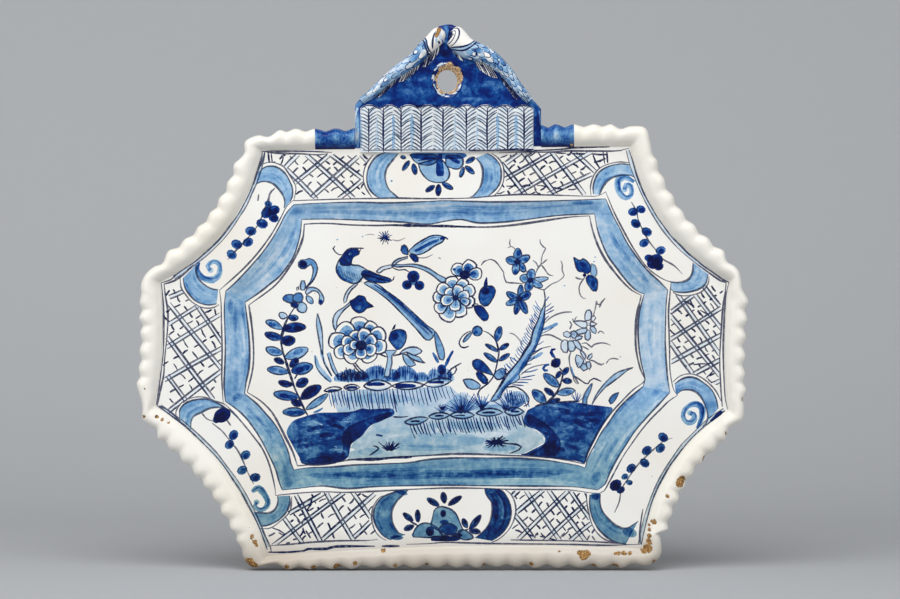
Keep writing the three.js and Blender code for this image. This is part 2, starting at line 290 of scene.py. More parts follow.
# %% Studio light
LAMPS = {
    # name: (place, width, height, watts)
    "large softbox above": ((-0.12, -0.62, 0.86), 1.3, 0.8, 10.8),
    "softbox on the left": ((-1.25, -0.95, 0.3), 0.9, 1.2, 8.2),
    "reflector on the right": ((1.3, -0.9, 0.2), 0.9, 1.2, 7.2),
}
for name, (at, width, height, watts) in LAMPS.items():
    bpy.ops.object.light_add(type="AREA", location=at)
    lamp = bpy.context.object
    lamp.name = name
    lamp.data.shape = "RECTANGLE"
    lamp.data.size = width
    lamp.data.size_y = height
    lamp.data.energy = watts
    lamp.rotation_euler = (target - lamp.location).to_track_quat("-Z", "Y").to_euler()
world = bpy.data.worlds.new("studio")
bpy.context.scene.world = world
world.use_nodes = True
world.node_tree.nodes["Background"].inputs["Color"].default_value = linear("#E4E8EC")
world.node_tree.nodes["Background"].inputs["Strength"].default_value = 0.4
print("lamps:", len(LAMPS))

# %% [markdown]
# ## How the painter worked, and how this script paints
# The painting is in cobalt on the raw white glaze: first the thin dark outlines, which Delft painters
# call the trek, then washes of thinner colour inside them, laid on once, twice or more. It could be
# an image, but this script makes it from shapes. Every brush stroke becomes a flat outline, and a
# triangulation cuts the glazed sheet along all of them, so each triangle knows which strokes cover it.
# Two numbers per triangle are kept as attributes, the cobalt's strength and the trek, and the
# material turns them into colour. A later shape may also clear what lies under it, as an opaque petal.

# %% Smooth lines through placed points
SEED = 1730
POINT_SPACING = 1.6
drawing = []
hand = random.Random(SEED)


def pairs(flat):
    return [np.array(p, float) for p in zip(flat[::2], flat[1::2])]


def smooth(flat, closed=False, step=POINT_SPACING):
    """A smooth curve through placed points, given as x, z, x, z and so on."""
    p = pairs(flat)
    if closed:
        p = [p[-1]] + p + p[:2]
    else:
        p = [2 * p[0] - p[1]] + p + [2 * p[-1] - p[-2]]
    curve = []
    for a, b, c, d in zip(p, p[1:], p[2:], p[3:]):
        count = max(1, round(float(np.hypot(*(c - b))) / step))
        for k in range(count):
            t = k / count
            curve.append(0.5 * (2 * b + (c - a) * t + (2 * a - 5 * b + 4 * c - d) * t ** 2
                                + (3 * b - a - 3 * c + d) * t ** 3))
    if not closed:
        curve.append(p[-2])
    return curve


# %% Brush strokes and filled shapes
SPREAD = 1.5


def shape(places, faces, cobalt, trek, clears=False):
    drawing.append((places, faces, cobalt, trek, clears))


def stroke(flat, width, cobalt=0.0, trek=0.0, step=POINT_SPACING, ends=0.45):
    """A stroke of the brush along a smooth curve. The hand presses now more, now less."""
    middle = smooth(flat, step=step)
    last = len(middle) - 1
    start = hand.uniform(0, 2 * math.pi)
    beat = hand.uniform(0.5, 0.9) / max(step, 1)
    places = []
    for i, p in enumerate(middle):
        way = middle[min(i + 1, last)] - middle[max(i - 1, 0)]
        side = np.array((-way[1], way[0])) / (np.hypot(*way) + 1e-9)
        press = ends + (1 - ends) * min(1, 2.2 * math.sin(math.pi * (i + 0.15) / (last + 0.3)))
        press *= 1 + 0.22 * math.sin(start + i * beat)
        half = width / 2 * press * hand.uniform(0.88, 1.1)
        places += [p + side * half, p - side * half]
    faces = []
    for i in range(0, 2 * last, 2):
        faces += [(i, i + 1, i + 3), (i, i + 3, i + 2)]
    shape(places, faces, cobalt, trek)


def line(flat, width=0.62, trek=0.9, step=POINT_SPACING):
    """A line of the trek, drawn with the point of a fine brush. It spreads as the glaze melts."""
    stroke(flat, width * SPREAD, trek=min(1, trek + 0.12), step=step)


def wash(flat, cobalt, trek=0.0, width=0.52, clears=False, step=POINT_SPACING, sharp=False):
    """A closed shape filled with wash, and outlined where trek is given."""
    places = pairs(flat) if sharp else smooth(flat, closed=True, step=step)
    shape(places, [tuple(range(len(places)))], cobalt, 0, clears)
    if trek:
        stroke(tuple(flat) + tuple(flat[:2]), width * SPREAD, trek=min(1, trek + 0.12), ends=0.8)


def oval(x, z, rx, rz, turn=0.0, count=12):
    """Points round an oval, turned by some degrees."""
    a = math.radians(turn)
    flat = []
    for k in range(count):
        u = rx * math.cos(2 * math.pi * k / count)
        v = rz * math.sin(2 * math.pi * k / count)
        flat += [x + u * math.cos(a) - v * math.sin(a), z + u * math.sin(a) + v * math.cos(a)]
    return tuple(flat)


def blob(x, z, rx, rz, cobalt, turn=0.0):
    """A dab of colour that is strongest in its middle, where the brush was lifted."""
    wash(oval(x, z, rx, rz, turn), cobalt * 0.7, step=1)
    wash(oval(x, z - 0.1 * rz, rx * 0.68, rz * 0.68, turn, 9), cobalt * 0.3, step=1)


def pool(x, z, rx, rz, cobalt, turn, heart=0.6):
    """A soft pool of colour, or a pale patch where the cobalt is negative, with a stronger heart."""
    wash(oval(x, z, rx, rz, turn, 10), cobalt * 0.6)
    wash(oval(x, z, rx * 0.6, rz * heart, turn, 8), cobalt * 0.4)


def leaf(x0, z0, x1, z1, width, cobalt, bend=0.0):
    """A leaf from its base to its tip: a wash, a darker pool of colour and a fine outline."""
    base = np.array((x0, z0))
    way = np.array((x1, z1)) - base
    side = np.array((-way[1], way[0])) / np.hypot(*way)
    upper, lower = [], []
    for t in (0.0, 0.12, 0.34, 0.6, 0.82, 0.96):
        half = width / 2 * math.sin(math.pi * min(1, t * 0.93 + 0.03)) ** 0.7
        middle = base + way * t + side * bend * 4 * t * (1 - t)
        upper += list(middle + side * half)
        lower = list(middle - side * half) + lower
    outline_of_leaf = upper + [x1, z1] + lower
    wash(outline_of_leaf, cobalt * 0.7, trek=0.85, width=0.48, clears=True)
    angle = math.degrees(math.atan2(way[1], way[0]))
    for along, share in ((0.3, 0.35), (0.66, 0.5)):
        pool = base + way * (along + hand.uniform(-0.1, 0.1)) + side * bend
        pool = pool + side * width * hand.uniform(-0.14, 0.14)
        wash(oval(pool[0], pool[1], np.hypot(*way) * 0.22, width * 0.27, angle, 8), cobalt * share)


def curl(flat, width, cobalt):
    """A brushed curl, darker on one side, that pools at its end."""
    stroke(flat, width, cobalt * 0.62, ends=0.6)
    stroke([c + 0.25 * width * hand.uniform(0.6, 1) for c in flat], width * 0.4, cobalt * 0.5, ends=0.2)
    stroke(flat[:8], width * 0.6, cobalt * 0.4, ends=0.3)
    blob(flat[-2], flat[-1], width * 0.55, width * 0.5, cobalt * 0.5)


# %% Long lines that keep clear of the rim
def kept_inside(flat, ring, margin):
    """Moves points that lie outside a ring, or too near it, to its inside."""
    ring = np.array(ring)
    middle = ring.mean(axis=0)
    after = np.roll(ring, -1, axis=0)
    kept = []
    for p in pairs(flat):
        t = np.clip(((p - ring) * (after - ring)).sum(1) / ((after - ring) ** 2).sum(1), 0, 1)
        nearest = ring + (after - ring) * t[:, None]
        i = int(np.argmin(np.hypot(*(nearest - p).T)))
        way = after[i] - ring[i]
        inward = np.array((way[1], -way[0])) / np.hypot(*way)
        if (middle - nearest[i]) @ inward < 0:
            inward = -inward
        if (p - nearest[i]) @ inward < margin:
            p = nearest[i] + inward * margin
        kept += list(p)
    return kept


field_edge = outline(field_sides)


def edge_line(flat, width=0.6, trek=0.8, margin=1.0):
    line(kept_inside(flat, field_edge, margin), width, trek, step=2.5)


print("field edge points:", len(field_edge))

# %% [markdown]
# ## The border: a trellis between ten white cartouches
# The flat border carries a trellis of double lines with small dashes in every opening, a common
# filling on old Delft. A cartouche with brushed crescents breaks it at the four diagonal sides and
# in the middle of the top and the bottom. Each trellis field is two families of nearly straight
# lines, so it is drawn by a function that clips them to the field and finds their openings.

# %% Trellis
def inside(places, ring):
    """Which of some places lie inside a ring of places."""
    ring = np.array(ring)
    x, z = np.array(places).T
    odd = np.zeros(len(x), bool)
    for (xa, za), (xb, zb) in zip(ring, np.roll(ring, -1, axis=0)):
        if za != zb:
            odd ^= ((za > z) != (zb > z)) & (x < xa + (z - za) * (xb - xa) / (zb - za))
    return odd


def clipped(a, b, ring):
    """The stretches of a straight line that lie inside a ring."""
    count = max(2, int(math.dist(a, b) / 0.6))
    points = [a * (1 - k / count) + b * k / count for k in range(count + 1)]
    runs, run = [], []
    for point, within in zip(points, inside(points, ring)):
        if within:
            run.append(point)
        elif run:
            runs.append(run)
            run = []
    return [(r[0], r[-1]) for r in runs + [run] if len(r) > 2]


def crossing(a, b, c, d):
    """Where the line through a and b meets the line through c and d."""
    u, v = b - a, d - c
    return a + u * ((c - a)[0] * v[1] - (c - a)[1] * v[0]) / (u[0] * v[1] - u[1] * v[0])


TRELLIS_GAP = 1.9


def trellis(field, pressure, families):
    """Double lines in two directions, with dashes that point into each opening."""
    ring = pairs(field)
    lines = [[(np.array(row[:2], float), np.array(row[2:], float)) for row in family]
             for family in families]
    for family in lines:
        for a, b in family:
            side = np.array((a[1] - b[1], b[0] - a[0])) / math.dist(a, b) * TRELLIS_GAP / 2
            for start, end in clipped(a, b, ring):
                middle = (start + end) / 2 + side * hand.uniform(-0.25, 0.25)
                stroke((*start, *middle, *end), TRELLIS_GAP * 0.8, cobalt=0.2, step=6)
            for way in (1, -1):
                for start, end in clipped(a + side * way, b + side * way, ring):
                    middle = (start + end) / 2 + side * hand.uniform(-0.3, 0.3)
                    line((*start, *middle, *end), hand.uniform(0.52, 0.7),
                         pressure * hand.uniform(0.8, 0.92), step=5)
    for family in lines:
        first, last = family[0], family[-1]
        before = tuple(2 * p - q for p, q in zip(first, family[1]))
        after = tuple(2 * p - q for p, q in zip(last, family[-2]))
        family[:] = [before] + family + [after]
    for i in range(len(lines[0]) - 1):
        for j in range(len(lines[1]) - 1):
            corners = [crossing(*lines[0][i + m], *lines[1][j + n])
                       for m, n in ((0, 0), (0, 1), (1, 1), (1, 0))]
            heart = sum(corners) / 4
            for p, q in zip(corners, corners[1:] + corners[:1]):
                from_side = (p + q) / 2
                start = from_side + (heart - from_side) * hand.uniform(0.14, 0.26)
                end = from_side + (heart - from_side) * hand.uniform(0.66, 0.86)
                turned = (end - start)[::-1] * (1, -1) * hand.uniform(-0.2, 0.2)
                if inside((start, end), ring).all() and hand.random() > 0.06:
                    line((*start, *((start + end) / 2 + turned), *(end + turned)), 0.66, 0.95, step=3)


TRELLIS_FIELDS = (
    # outline of the field, pressure of the brush, then two families of centre lines
    ((-95, 103.5, -62, 103.3, -40, 103.2, -43.5, 90, -39, 80, -79.5, 79.3, -79, 86, -86, 96.5, -97.5, 98),
     0.95,
     [[(-84, 95.4, -68, 79.2), (-73.5, 102.8, -48.5, 79.8), (-60.8, 103, -44.4, 90.5),
       (-44.8, 102.8, -41.4, 99.3)],
      [(-84.4, 96.2, -77.6, 103), (-79.5, 88, -61.8, 102.3), (-71, 80, -46.3, 101.8),
       (-56.5, 79.6, -44.2, 89.3)]]),
    ((28, 103.8, 64, 104.3, 88, 104.6, 99, 99, 88, 98.5, 77.3, 91, 76, 84, 76, 81.2, 26, 81.5, 30, 92),
     0.98,
     [[(29, 98.5, 42, 81.5), (40.3, 104.3, 58, 81.5), (55, 104.8, 73, 81.6), (66.2, 105, 78.3, 94)],
      [(31.5, 98.2, 39.5, 103.9), (31, 90, 55.5, 103.8), (36, 81.8, 77, 104.6), (53.5, 82, 76.5, 92.6)]]),
    ((-96, -98, -92.3, -103.2, -58, -101, -34, -100.4, -39, -90, -38, -82, -31, -75, -81, -75.7, -82, -84,
      -91, -93.3, -98, -94.5),
     1.06,
     [[(-85.8, -88.5, -75.8, -102.1), (-79.2, -76.7, -66.2, -101.5), (-63.5, -75, -48.8, -100.8),
       (-49.5, -75, -39.8, -88.8)],
      [(-83, -86.5, -63.5, -75.2), (-92, -104, -53.7, -75.4), (-65.5, -100.5, -37.5, -76),
       (-49, -99.3, -40, -90.8)]]),
    ((31, -74.5, 65, -74.3, 74.5, -75.5, 74.3, -82, 77, -92, 84, -100.5, 90, -101.8, 55, -100.8, 30,
      -100.8, 35, -92, 36.8, -84),
     1.1,
     [[(36, -86.8, 46.5, -100.2), (41.8, -73.8, 60.2, -101), (54, -74, 73.9, -101.3),
       (65.3, -74, 76, -89.5)],
      [(35.3, -77, 38.5, -74), (37.3, -85.8, 51.4, -74), (38, -100.3, 65, -74),
       (51.5, -101.5, 74.5, -80.5), (65.5, -100.9, 76.6, -91.7)]]),
    ((-148, 34, -148.6, 2, -151, -29.5, -142, -36.5, -140, -28.5, -131, -24.8, -118.5, -27.5, -118.3, 10,
      -119.2, 24, -130, 23, -140, 37),
     0.93,
     [[(-131.3, 23.5, -117.6, 3.2), (-146, 24.5, -118.5, -9.9), (-147, 6.8, -122.6, -26.3),
       (-147, -13.3, -137.4, -26.4)],
      [(-145.8, 27.8, -138.4, 30.9), (-146.3, 13.4, -130.6, 23.3), (-147.4, 1.3, -118.8, 18.8),
       (-148.6, -16, -118, 1), (-147, -33, -118.3, -11)]]),
    ((146.5, 34.5, 144.3, 2, 144.3, -20, 131, -12.7, 121, -16, 118.5, -10, 117.7, 10, 118.7, 29.5, 131,
      29.3, 139, 38.5),
     0.93,
     [[(136, 33.3, 144, 23.2), (131, 29.3, 145.2, 11), (121.8, 29.4, 144.4, -2.6),
       (117.5, 19, 144.4, -13.8), (118.2, 4, 130.3, -12.8)],
      [(117.5, 19.2, 130, 28.6), (117.8, 5.3, 145, 22.2), (118.2, -6.6, 145, 8),
       (130.5, -12.8, 144.5, -5.2), (139.5, -18.5, 145, -16)]]),
)
for field, pressure, families in TRELLIS_FIELDS:
    trellis(field, pressure, families)
for flat in (
        (-93.5, 104, -92.9, 98.4), (-92, 104, -91.3, 98.2), (-85.6, 103.3, -85.8, 100.3, -86.9, 97.5),
        (82.5, 104.7, 83.5, 98), (84.5, 104.7, 85, 98.5), (-140, 41, -137.5, 43.5), (137, -15, 141, -11)):
    line(flat)
print("trellis strokes:", len(drawing))

# %% [markdown]
# The cartouches come next: each crescent is one wash with a dark inner or outer line, and a second
# fine line runs outside it. A blue sprig of round berries lies along each diagonal one, and a curl
# closes the end of it.


# %% Crescents
def crescent(outer, inner, cobalt, second):
    """A crescent of wash between two lines, with a fine line outside it."""
    outer_curve = smooth(outer)
    inner_curve = smooth(inner)
    if math.dist(outer_curve[-1], inner_curve[0]) > math.dist(outer_curve[-1], inner_curve[-1]):
        inner_curve = inner_curve[::-1]
    ring = outer_curve + inner_curve
    shape(ring, [tuple(range(len(ring)))], cobalt, 0, True)
    count = min(len(outer_curve), len(inner_curve))
    for k in range(5):
        f = hand.uniform(0.12, 0.88)
        start = hand.randrange(0, max(1, count // 2))
        flat = []
        for i in range(start, min(count, start + count // 2 + 1), 2):
            a = outer_curve[int(i / count * (len(outer_curve) - 1))]
            b = inner_curve[::-1][int(i / count * (len(inner_curve) - 1))]
            flat += list(a * (1 - f) + b * f)
        if len(flat) >= 6:
            stroke(flat, hand.uniform(0.8, 1.8), cobalt * hand.choice((-0.22, 0.2, 0.3)), step=2)
    line(outer, 0.6, 0.8)
    line(inner, 0.7, 0.75)
    line(second, 0.5, 0.75)


# The white ground of the six cartouches, which the trellis must not enter.
for flat in (
        (-99.4, 95.4, -96.5, 97.8, -91.8, 98.9, -87.1, 97.5, -84.9, 96, -81.5, 90.9, -79.2, 86.7, -79.6,
         80.7, -119.5, 24, -126, 22, -134.5, 25.5, -139.5, 33, -141, 41),
        (76.3, 81.3, 76, 86, 79.5, 94.5, 88, 98.5, 99, 99.5, 139.5, 39, 138, 35, 131, 29.3, 122, 29, 118,
         31),
        (-143, -37, -142.5, -33, -136, -26, -131, -24.8, -117, -28.5, -81.5, -77.5, -84, -87.5, -91,
         -93.3, -98, -94.8),
        (119.5, -17, 123, -14, 131, -13, 139, -18, 145, -27, 146, -36, 96, -103.3, 84, -100.5, 77, -92,
         74.3, -80, 74.3, -75),
        (-38, 104, -41, 99.5, -43.5, 90, -40.5, 82.5, -38.8, 79.8, 24, 80, 29.8, 87.5, 30, 97, 24, 104.5),
        (-31, -75, -38, -82, -38.8, -92, -31.5, -101.5, 24, -102, 35, -92, 36.3, -80.5, 30, -73)):
    wash(flat, 0, clears=True, sharp=True)
CRESCENTS = (
    ((-99, 93.1, -97.3, 94.8, -95.2, 96.3, -92.6, 96.8, -89.6, 96.5, -87.1, 95.2, -84.9, 93.3, -83.2,
      90.9, -82, 88.4, -80.9, 85.8, -80.7, 83.2, -80.9, 80.7, -82, 78.1),
     (-100.1, 87.1, -97.3, 88.6, -95.2, 88.8, -90.9, 87.5, -87.5, 84.1, -85.8, 81.5, -84.9, 79, -84.9,
      76.4, -85.2, 74.7),
     1.1,
     (-99.4, 95.4, -96.5, 97.8, -91.8, 98.9, -87.1, 97.5, -84.9, 96, -81.5, 90.9, -79.2, 86.7, -78.9,
      84.8, -79.6, 80.7, -80.1, 79)),
    ((-138.5, 38, -137.5, 33, -135, 29, -132, 26, -129, 24.5, -125, 23.7, -120.8, 24.3),
     (-131.5, 45, -131.5, 42, -131, 39, -129, 36, -126, 33.5, -122.5, 32, -120, 31.8), 1.2,
     (-140, 38, -139.5, 33, -137, 29, -134, 25.5, -130, 23, -126, 22, -122, 22.5, -119.5, 24)),
    ((77.5, 82, 77.5, 87, 80, 93, 85, 96.5, 92, 98, 96.5, 97.5),
     (80.8, 81.8, 82, 85, 84, 88, 87, 90.5, 92, 92, 97, 92, 99, 91), 1.15,
     (76.3, 81.3, 76, 86, 77.3, 91, 79.5, 94.5, 83, 97, 88, 98.5, 92, 99, 96.5, 98.5)),
    ((138, 40, 136.8, 35, 134, 32.5, 130, 31, 125, 30.3, 120, 30.8, 118.5, 32),
     (130, 46, 129.8, 41, 128, 37.5, 125, 36, 121, 35.5, 115.5, 36.5), 1.2,
     (138.5, 39, 138, 35, 135, 31, 131, 29.3, 126, 28.5, 122, 29, 119.5, 30.5)),
    ((-140.5, -36, -140.5, -32, -138.5, -29, -135, -27, -130, -26, -126, -26, -122, -27.5, -118, -29.5,
      -114, -32.5),
     (-134.5, -42, -134.5, -38, -133, -35, -129, -33, -125, -31, -121, -30.3, -116, -31, -112, -33.5,
      -108, -38),
     1.3,
     (-142, -37, -142.5, -33, -140, -28.5, -136, -26, -131, -24.8, -126, -25.3, -122, -27, -117, -28.5,
      -113, -31.5)),
    ((-98, -93.3, -94, -92.7, -90, -91, -87, -88.8, -84.5, -86, -83, -83, -82.3, -79.5, -82.8, -77),
     (-101.5, -86, -98, -86, -94, -86.3, -91, -85, -89.3, -82.5, -88.7, -79.5, -89, -77.3), 1.2,
     (-98, -94.5, -94, -94.5, -91, -93.3, -88, -91, -84, -87.5, -82, -84, -81.5, -77.5)),
    ((120.5, -18, 124, -15.5, 128, -14.3, 132, -15, 136, -17.5, 140, -21, 142.5, -26, 143.5, -31),
     (121.3, -24, 124, -21.5, 128, -21, 131.5, -22, 134.5, -25, 136.5, -29, 138, -34, 137.5, -38, 136,
      -41),
     1.3, (119.5, -17, 123, -14, 127, -12.7, 131, -13, 135, -14.8, 139, -18, 142.5, -22, 145, -27)),
    ((76, -76.5, 75.8, -82, 77, -88, 80, -94, 84, -98.3, 89, -101.5, 95, -102.8),
     (81.5, -76, 81.3, -81, 82.5, -85, 85, -88.5, 88, -91.5, 91, -93.5, 95, -94.5, 98, -93, 101.5, -90.5),
     1.4, (74.3, -75, 74.3, -80, 75.3, -86, 77, -92, 80, -97, 84, -100.3, 90, -102, 96, -103)),
    ((-32, 104, -36, 102.3, -39, 99, -41, 95, -41.7, 90, -40.7, 85.5, -38, 82, -35, 80),
     (-25, 103.5, -28, 100, -31, 96, -32, 92, -31.5, 88, -30, 84.5, -27, 81.8, -25, 80.2), 1.1,
     (-38, 103, -41, 99.5, -43, 95, -43.5, 90, -42.5, 86, -40.5, 82.5, -38.8, 80.3)),
    ((21.5, 103.5, 25, 101.5, 28, 98, 29, 94, 28.8, 89.5, 27, 85.5, 24, 82.5, 21.5, 80.5),
     (15.5, 101, 18, 98.5, 19.3, 95, 19.3, 91, 18.5, 87, 16.5, 83.5, 14, 81, 12.5, 80.5), 1.2,
     (24, 103.5, 27.5, 101, 30, 97, 30.5, 92, 29.8, 87.5, 27.5, 83.5, 24.5, 80.5)),
    ((-24, -73.2, -28, -75.5, -33, -77.5, -36.5, -81, -38.3, -86, -37.8, -91, -35.5, -95.5, -32.5, -98.8,
      -29, -100.5),
     (-20, -74.2, -23, -77, -26, -80, -28.3, -84, -28.8, -88, -28, -92, -26.3, -95, -25, -96.8, -21.5,
      -97.8),
     1.8,
     (-31, -76.5, -35, -78, -38, -82, -39.3, -87, -38.8, -92, -37, -96.5, -34, -99.5, -31.5, -100.8)),
    ((25, -73, 29, -74, 32, -77.5, 34, -82, 34.3, -87, 33, -92, 30.5, -96, 27.5, -98.8, 24, -101),
     (20.3, -73, 21, -76, 22.5, -78.5, 24, -80.5, 24.5, -84, 24, -88, 23, -91.5, 21, -94.5, 18.5, -97,
      15.5, -99.5),
     3.3, (30, -73, 34, -76, 36.3, -80.5, 36.8, -86, 35, -92, 32, -96.5, 28, -100, 24, -101.8)),
)
for outer, inner, cobalt, second in CRESCENTS:
    crescent(kept_inside(outer, field_edge, 1.5), kept_inside(inner, field_edge, 1.5), cobalt,
             kept_inside(second, field_edge, 1.1))
blob(97, -96.5, 4, 2.5, 1.6, -20)
blob(79, -77, 2.5, 2.5, 1.6)
blob(-24, -75, 4, 1.4, 2, -20)
blob(-26, -99.3, 3.5, 1.3, 2.5)
wash((139, -37.5, 144.5, -32, 146.5, -32.6, 141, -38.2), 4)
print("strokes so far:", len(drawing))

# %% Berry sprigs and curls
CURLS = (
    (-130, 46, -131, 42, -128, 38, -123, 37, -119.5, 40, -119.5, 45, -123, 46.5, -125.5, 44, -124, 42),
    (99, 88.5, 94, 91, 90.5, 89, 91, 83.5, 94.5, 80, 97.5, 82, 97, 86, 94.5, 87, 94, 84.5),
    (132.3, -41.5, 134.8, -36, 135, -31, 132.5, -28.7, 129, -29, 126, -31.5, 125, -35, 126.5, -38, 129,
     -38.3, 131, -36.5, 130.5, -34, 128.8, -33.3),
    (-102.5, -75, -99, -73, -95.5, -77, -94, -81, -96, -84, -99, -84.5, -101, -82.5, -100, -80.5),
)
for flat in CURLS:
    curl(flat, 3, 1.95)
STEMS = (
    (-90, 85.2, -91.7, 83.7, -92.8, 82, -93.2, 79.8, -93.2, 77.7, -92.8, 74.7),
    (-93.5, 80.2, -94.8, 76, -96.5, 71, -99.2, 65.5, -103, 60.5, -106.5, 56.5, -111, 52, -115, 47.5),
    (97.5, 78, 100.2, 73, 101.3, 68, 104, 62.5, 107, 57, 111, 52, 114, 48, 120, 44.5, 124.5, 40),
    (-129, -33, -126, -36.5, -121, -38),
    (-123.5, -38.5, -118, -43, -114, -48, -110, -53, -107, -59, -104.5, -65, -101.5, -71),
    (119.5, -46.5, 114.5, -48.5, 108, -54, 101, -61, 96, -68, 92.5, -74, 91.5, -80, 89, -86),
    (-116, -36.5, -113.5, -40), (-98.5, 82, -99, 78.5),
)
for flat in STEMS:
    line(flat, 0.55, 0.75)
BERRIES = (
    # x, z, radius, strength
    (-90.5, 73.6, 2.5, 3.6), (-94.4, 72.3, 2.6, 3.2), (-90.8, 69.6, 2.3, 3), (-96.8, 66.5, 2.5, 3),
    (-102.7, 62.6, 2.4, 2.8), (-104.2, 56.7, 2.3, 2.8), (-110.2, 55.6, 2.4, 2.9), (-112.8, 50.2, 2.3, 2.7),
    (-93.5, 76.8, 1.6, 2.2), (98.5, 72.7, 2.2, 3), (102.6, 74, 2, 2.8), (99.8, 66.5, 2.2, 2.8),
    (105.6, 62.2, 2.3, 3), (104.3, 56.3, 2.1, 2.6), (113, 52.4, 2.2, 2.6), (110, 46.6, 3.6, 4.8),
    (106.9, 48.4, 2, 4.2), (112.2, 43.9, 2, 4), (-118, -34.5, 3.7, 5), (-120.7, -36.4, 2, 3.5),
    (-112, -45, 2.3, 2.6), (-114.2, -50, 2.2, 2.5), (-105.8, -55.6, 2.3, 3), (-107.5, -63.6, 2.3, 2.8),
    (-100.7, -67.5, 2.3, 2.8), (114.5, -46.2, 2.3, 3.2), (113.2, -52, 2.2, 2.8), (106, -53.2, 2.3, 3),
    (104.8, -59.8, 2.2, 3), (97.8, -62.6, 2.2, 2.8), (94.4, -67, 1.5, 2.4), (89.5, -71.5, 2.8, 4.6),
    (92.2, -74, 1.9, 4), (96.8, -70.2, 1.4, 2.5),
)
for x, z, radius, strength in BERRIES:
    turn = hand.uniform(-40, 60)
    wash(oval(x, z, radius * 1.28, radius * 1.02, turn, 9), strength * 0.95)
    wash(oval(x + 0.3, z - 0.3, radius * 0.8, radius * 0.6, turn + 20, 8), strength * 0.5)
    if strength < 4:
        stroke(oval(x, z, radius * 1.2, radius * 0.94, turn, 9)[:12], 0.7, strength * 0.5)
print("berries:", len(BERRIES))

# %% Half flowers in the top and bottom cartouches
wash((-18, 103.6, -4, 103.8, 10, 103.5, 9, 100.8, -4, 100.6, -17, 100.8), 2.2)
wash((-19, 103, -17.5, 100.5, -15.5, 98.5, -12, 97.5, -9, 97.3, -5.3, 98.8, -5, 102.5, -12, 103), 1.2, 0.85)
wash((0, 102.5, 0, 97.3, 2.5, 96, 5, 95.2, 7.5, 95.8, 9, 98, 9, 100.3, 6, 102.5), 1.4, 0.85)
wash((-14.5, 98, -13.5, 94.5, -11.5, 91.5, -9, 89.3, -6, 88.3, -3, 88.1, 0, 89, 1.5, 91, 1.8, 93.5, 0.5,
      96.8, -3, 100.5, -9, 99.5),
     1.05, 0.85)
wash((-15, 99.6, -10, 101.5, -5, 101.2, -5.5, 99.8, -10, 99.9), 2.4)
wash((1, 101.5, 4, 101.4, 7.5, 99.2, 7, 97.8, 3.5, 99.2), 2.2)
stroke((-3.1, 103.2, -3.3, 98, -3, 91.5), 3.6, 2.6, ends=0.7)
TOP_PETALS = (
    (-23.8, 101.8, -21.2, 101.2, 1.6, 3.2), (-19.3, 99.5, -22.8, 94.5, 2.1, 3.3),
    (-17.2, 98, -16, 92.5, 2.6, 3.3), (10.5, 98.5, 15, 101.2, 2.3, 3.2),
    (10.3, 96.7, 14.8, 92.8, 2.5, 3.3), (9.3, 96.3, 7.5, 91, 2, 3), (-6, 86.5, -10.5, 83.5, 2.3, 4),
    (-3.8, 87.2, -4.2, 81.3, 2.8, 5), (-2, 88, 3.5, 84.8, 2.5, 3.5),
)
BOTTOM_PETALS = (
    (-3.8, -82.3, -10, -78.5, 3, 5), (-0.8, -81, -1.7, -75.3, 3, 5.2), (1.3, -82, 8.2, -77.5, 2.8, 4.8),
    (-17.5, -90.5, -22.5, -86.3, 2.7, 4.6), (-14.8, -91, -15, -84.5, 2.7, 4.8),
    (-17, -93, -22, -95, 2.8, 4.6), (11, -94, 9, -89.3, 2.8, 4.8), (12.5, -95, 18.3, -87.3, 3, 5),
    (12.3, -95.5, 18, -96.2, 2.8, 4.6),
)
wash((-17.5, -99, -17, -96, -15, -93.2, -12.5, -91.8, -9.5, -91.6, -6.5, -92.8, -4, -94.5, -3, -99), 1.5,
     0.85)
wash((6, -99, 6.5, -96, 8.5, -94.8, 12, -96.5, 14.5, -99.3, 10, -100.5), 1.6, 0.85)
wash((-8, -93.5, -7, -88, -6.3, -85, -4.5, -83.3, -2, -82.8, 0, -83.3, 3, -84.5, 5.5, -87, 6.8, -90, 8, -93,
      8.5, -95.5, 3, -98), 1.4, 0.85)
wash((-4, -95, -2, -92.5, 1, -91.7, 4, -92.5, 6, -94.5, 4, -97.5, -2, -97.8), 1.6, 0.85)
blob(-1.5, -86.5, 1.6, 2, 4.6)
blob(-1, -91, 2.4, 1.3, 2.5)
blob(-8.5, -96, 2.3, 2.7, 4.6)
blob(5.8, -98, 3, 1.3, 4.5)
wash((-8, -98.6, -2, -98.2, 4, -98.6, 8, -99.3, 6, -101, -2, -101.3, -8, -100.8), 4.6)
for x0, z0, x1, z1, width, strength in TOP_PETALS + BOTTOM_PETALS:
    leaf(x0, z0, x1, z1, width, strength)
line((-19, -90.8, -16.5, -92, -15, -92.8))
line((8, -94.8, 10, -95.3, 12, -94.8))
blob(-28.6, 89, 0.6, 0.6, 1.5)
print("strokes so far:", len(drawing))

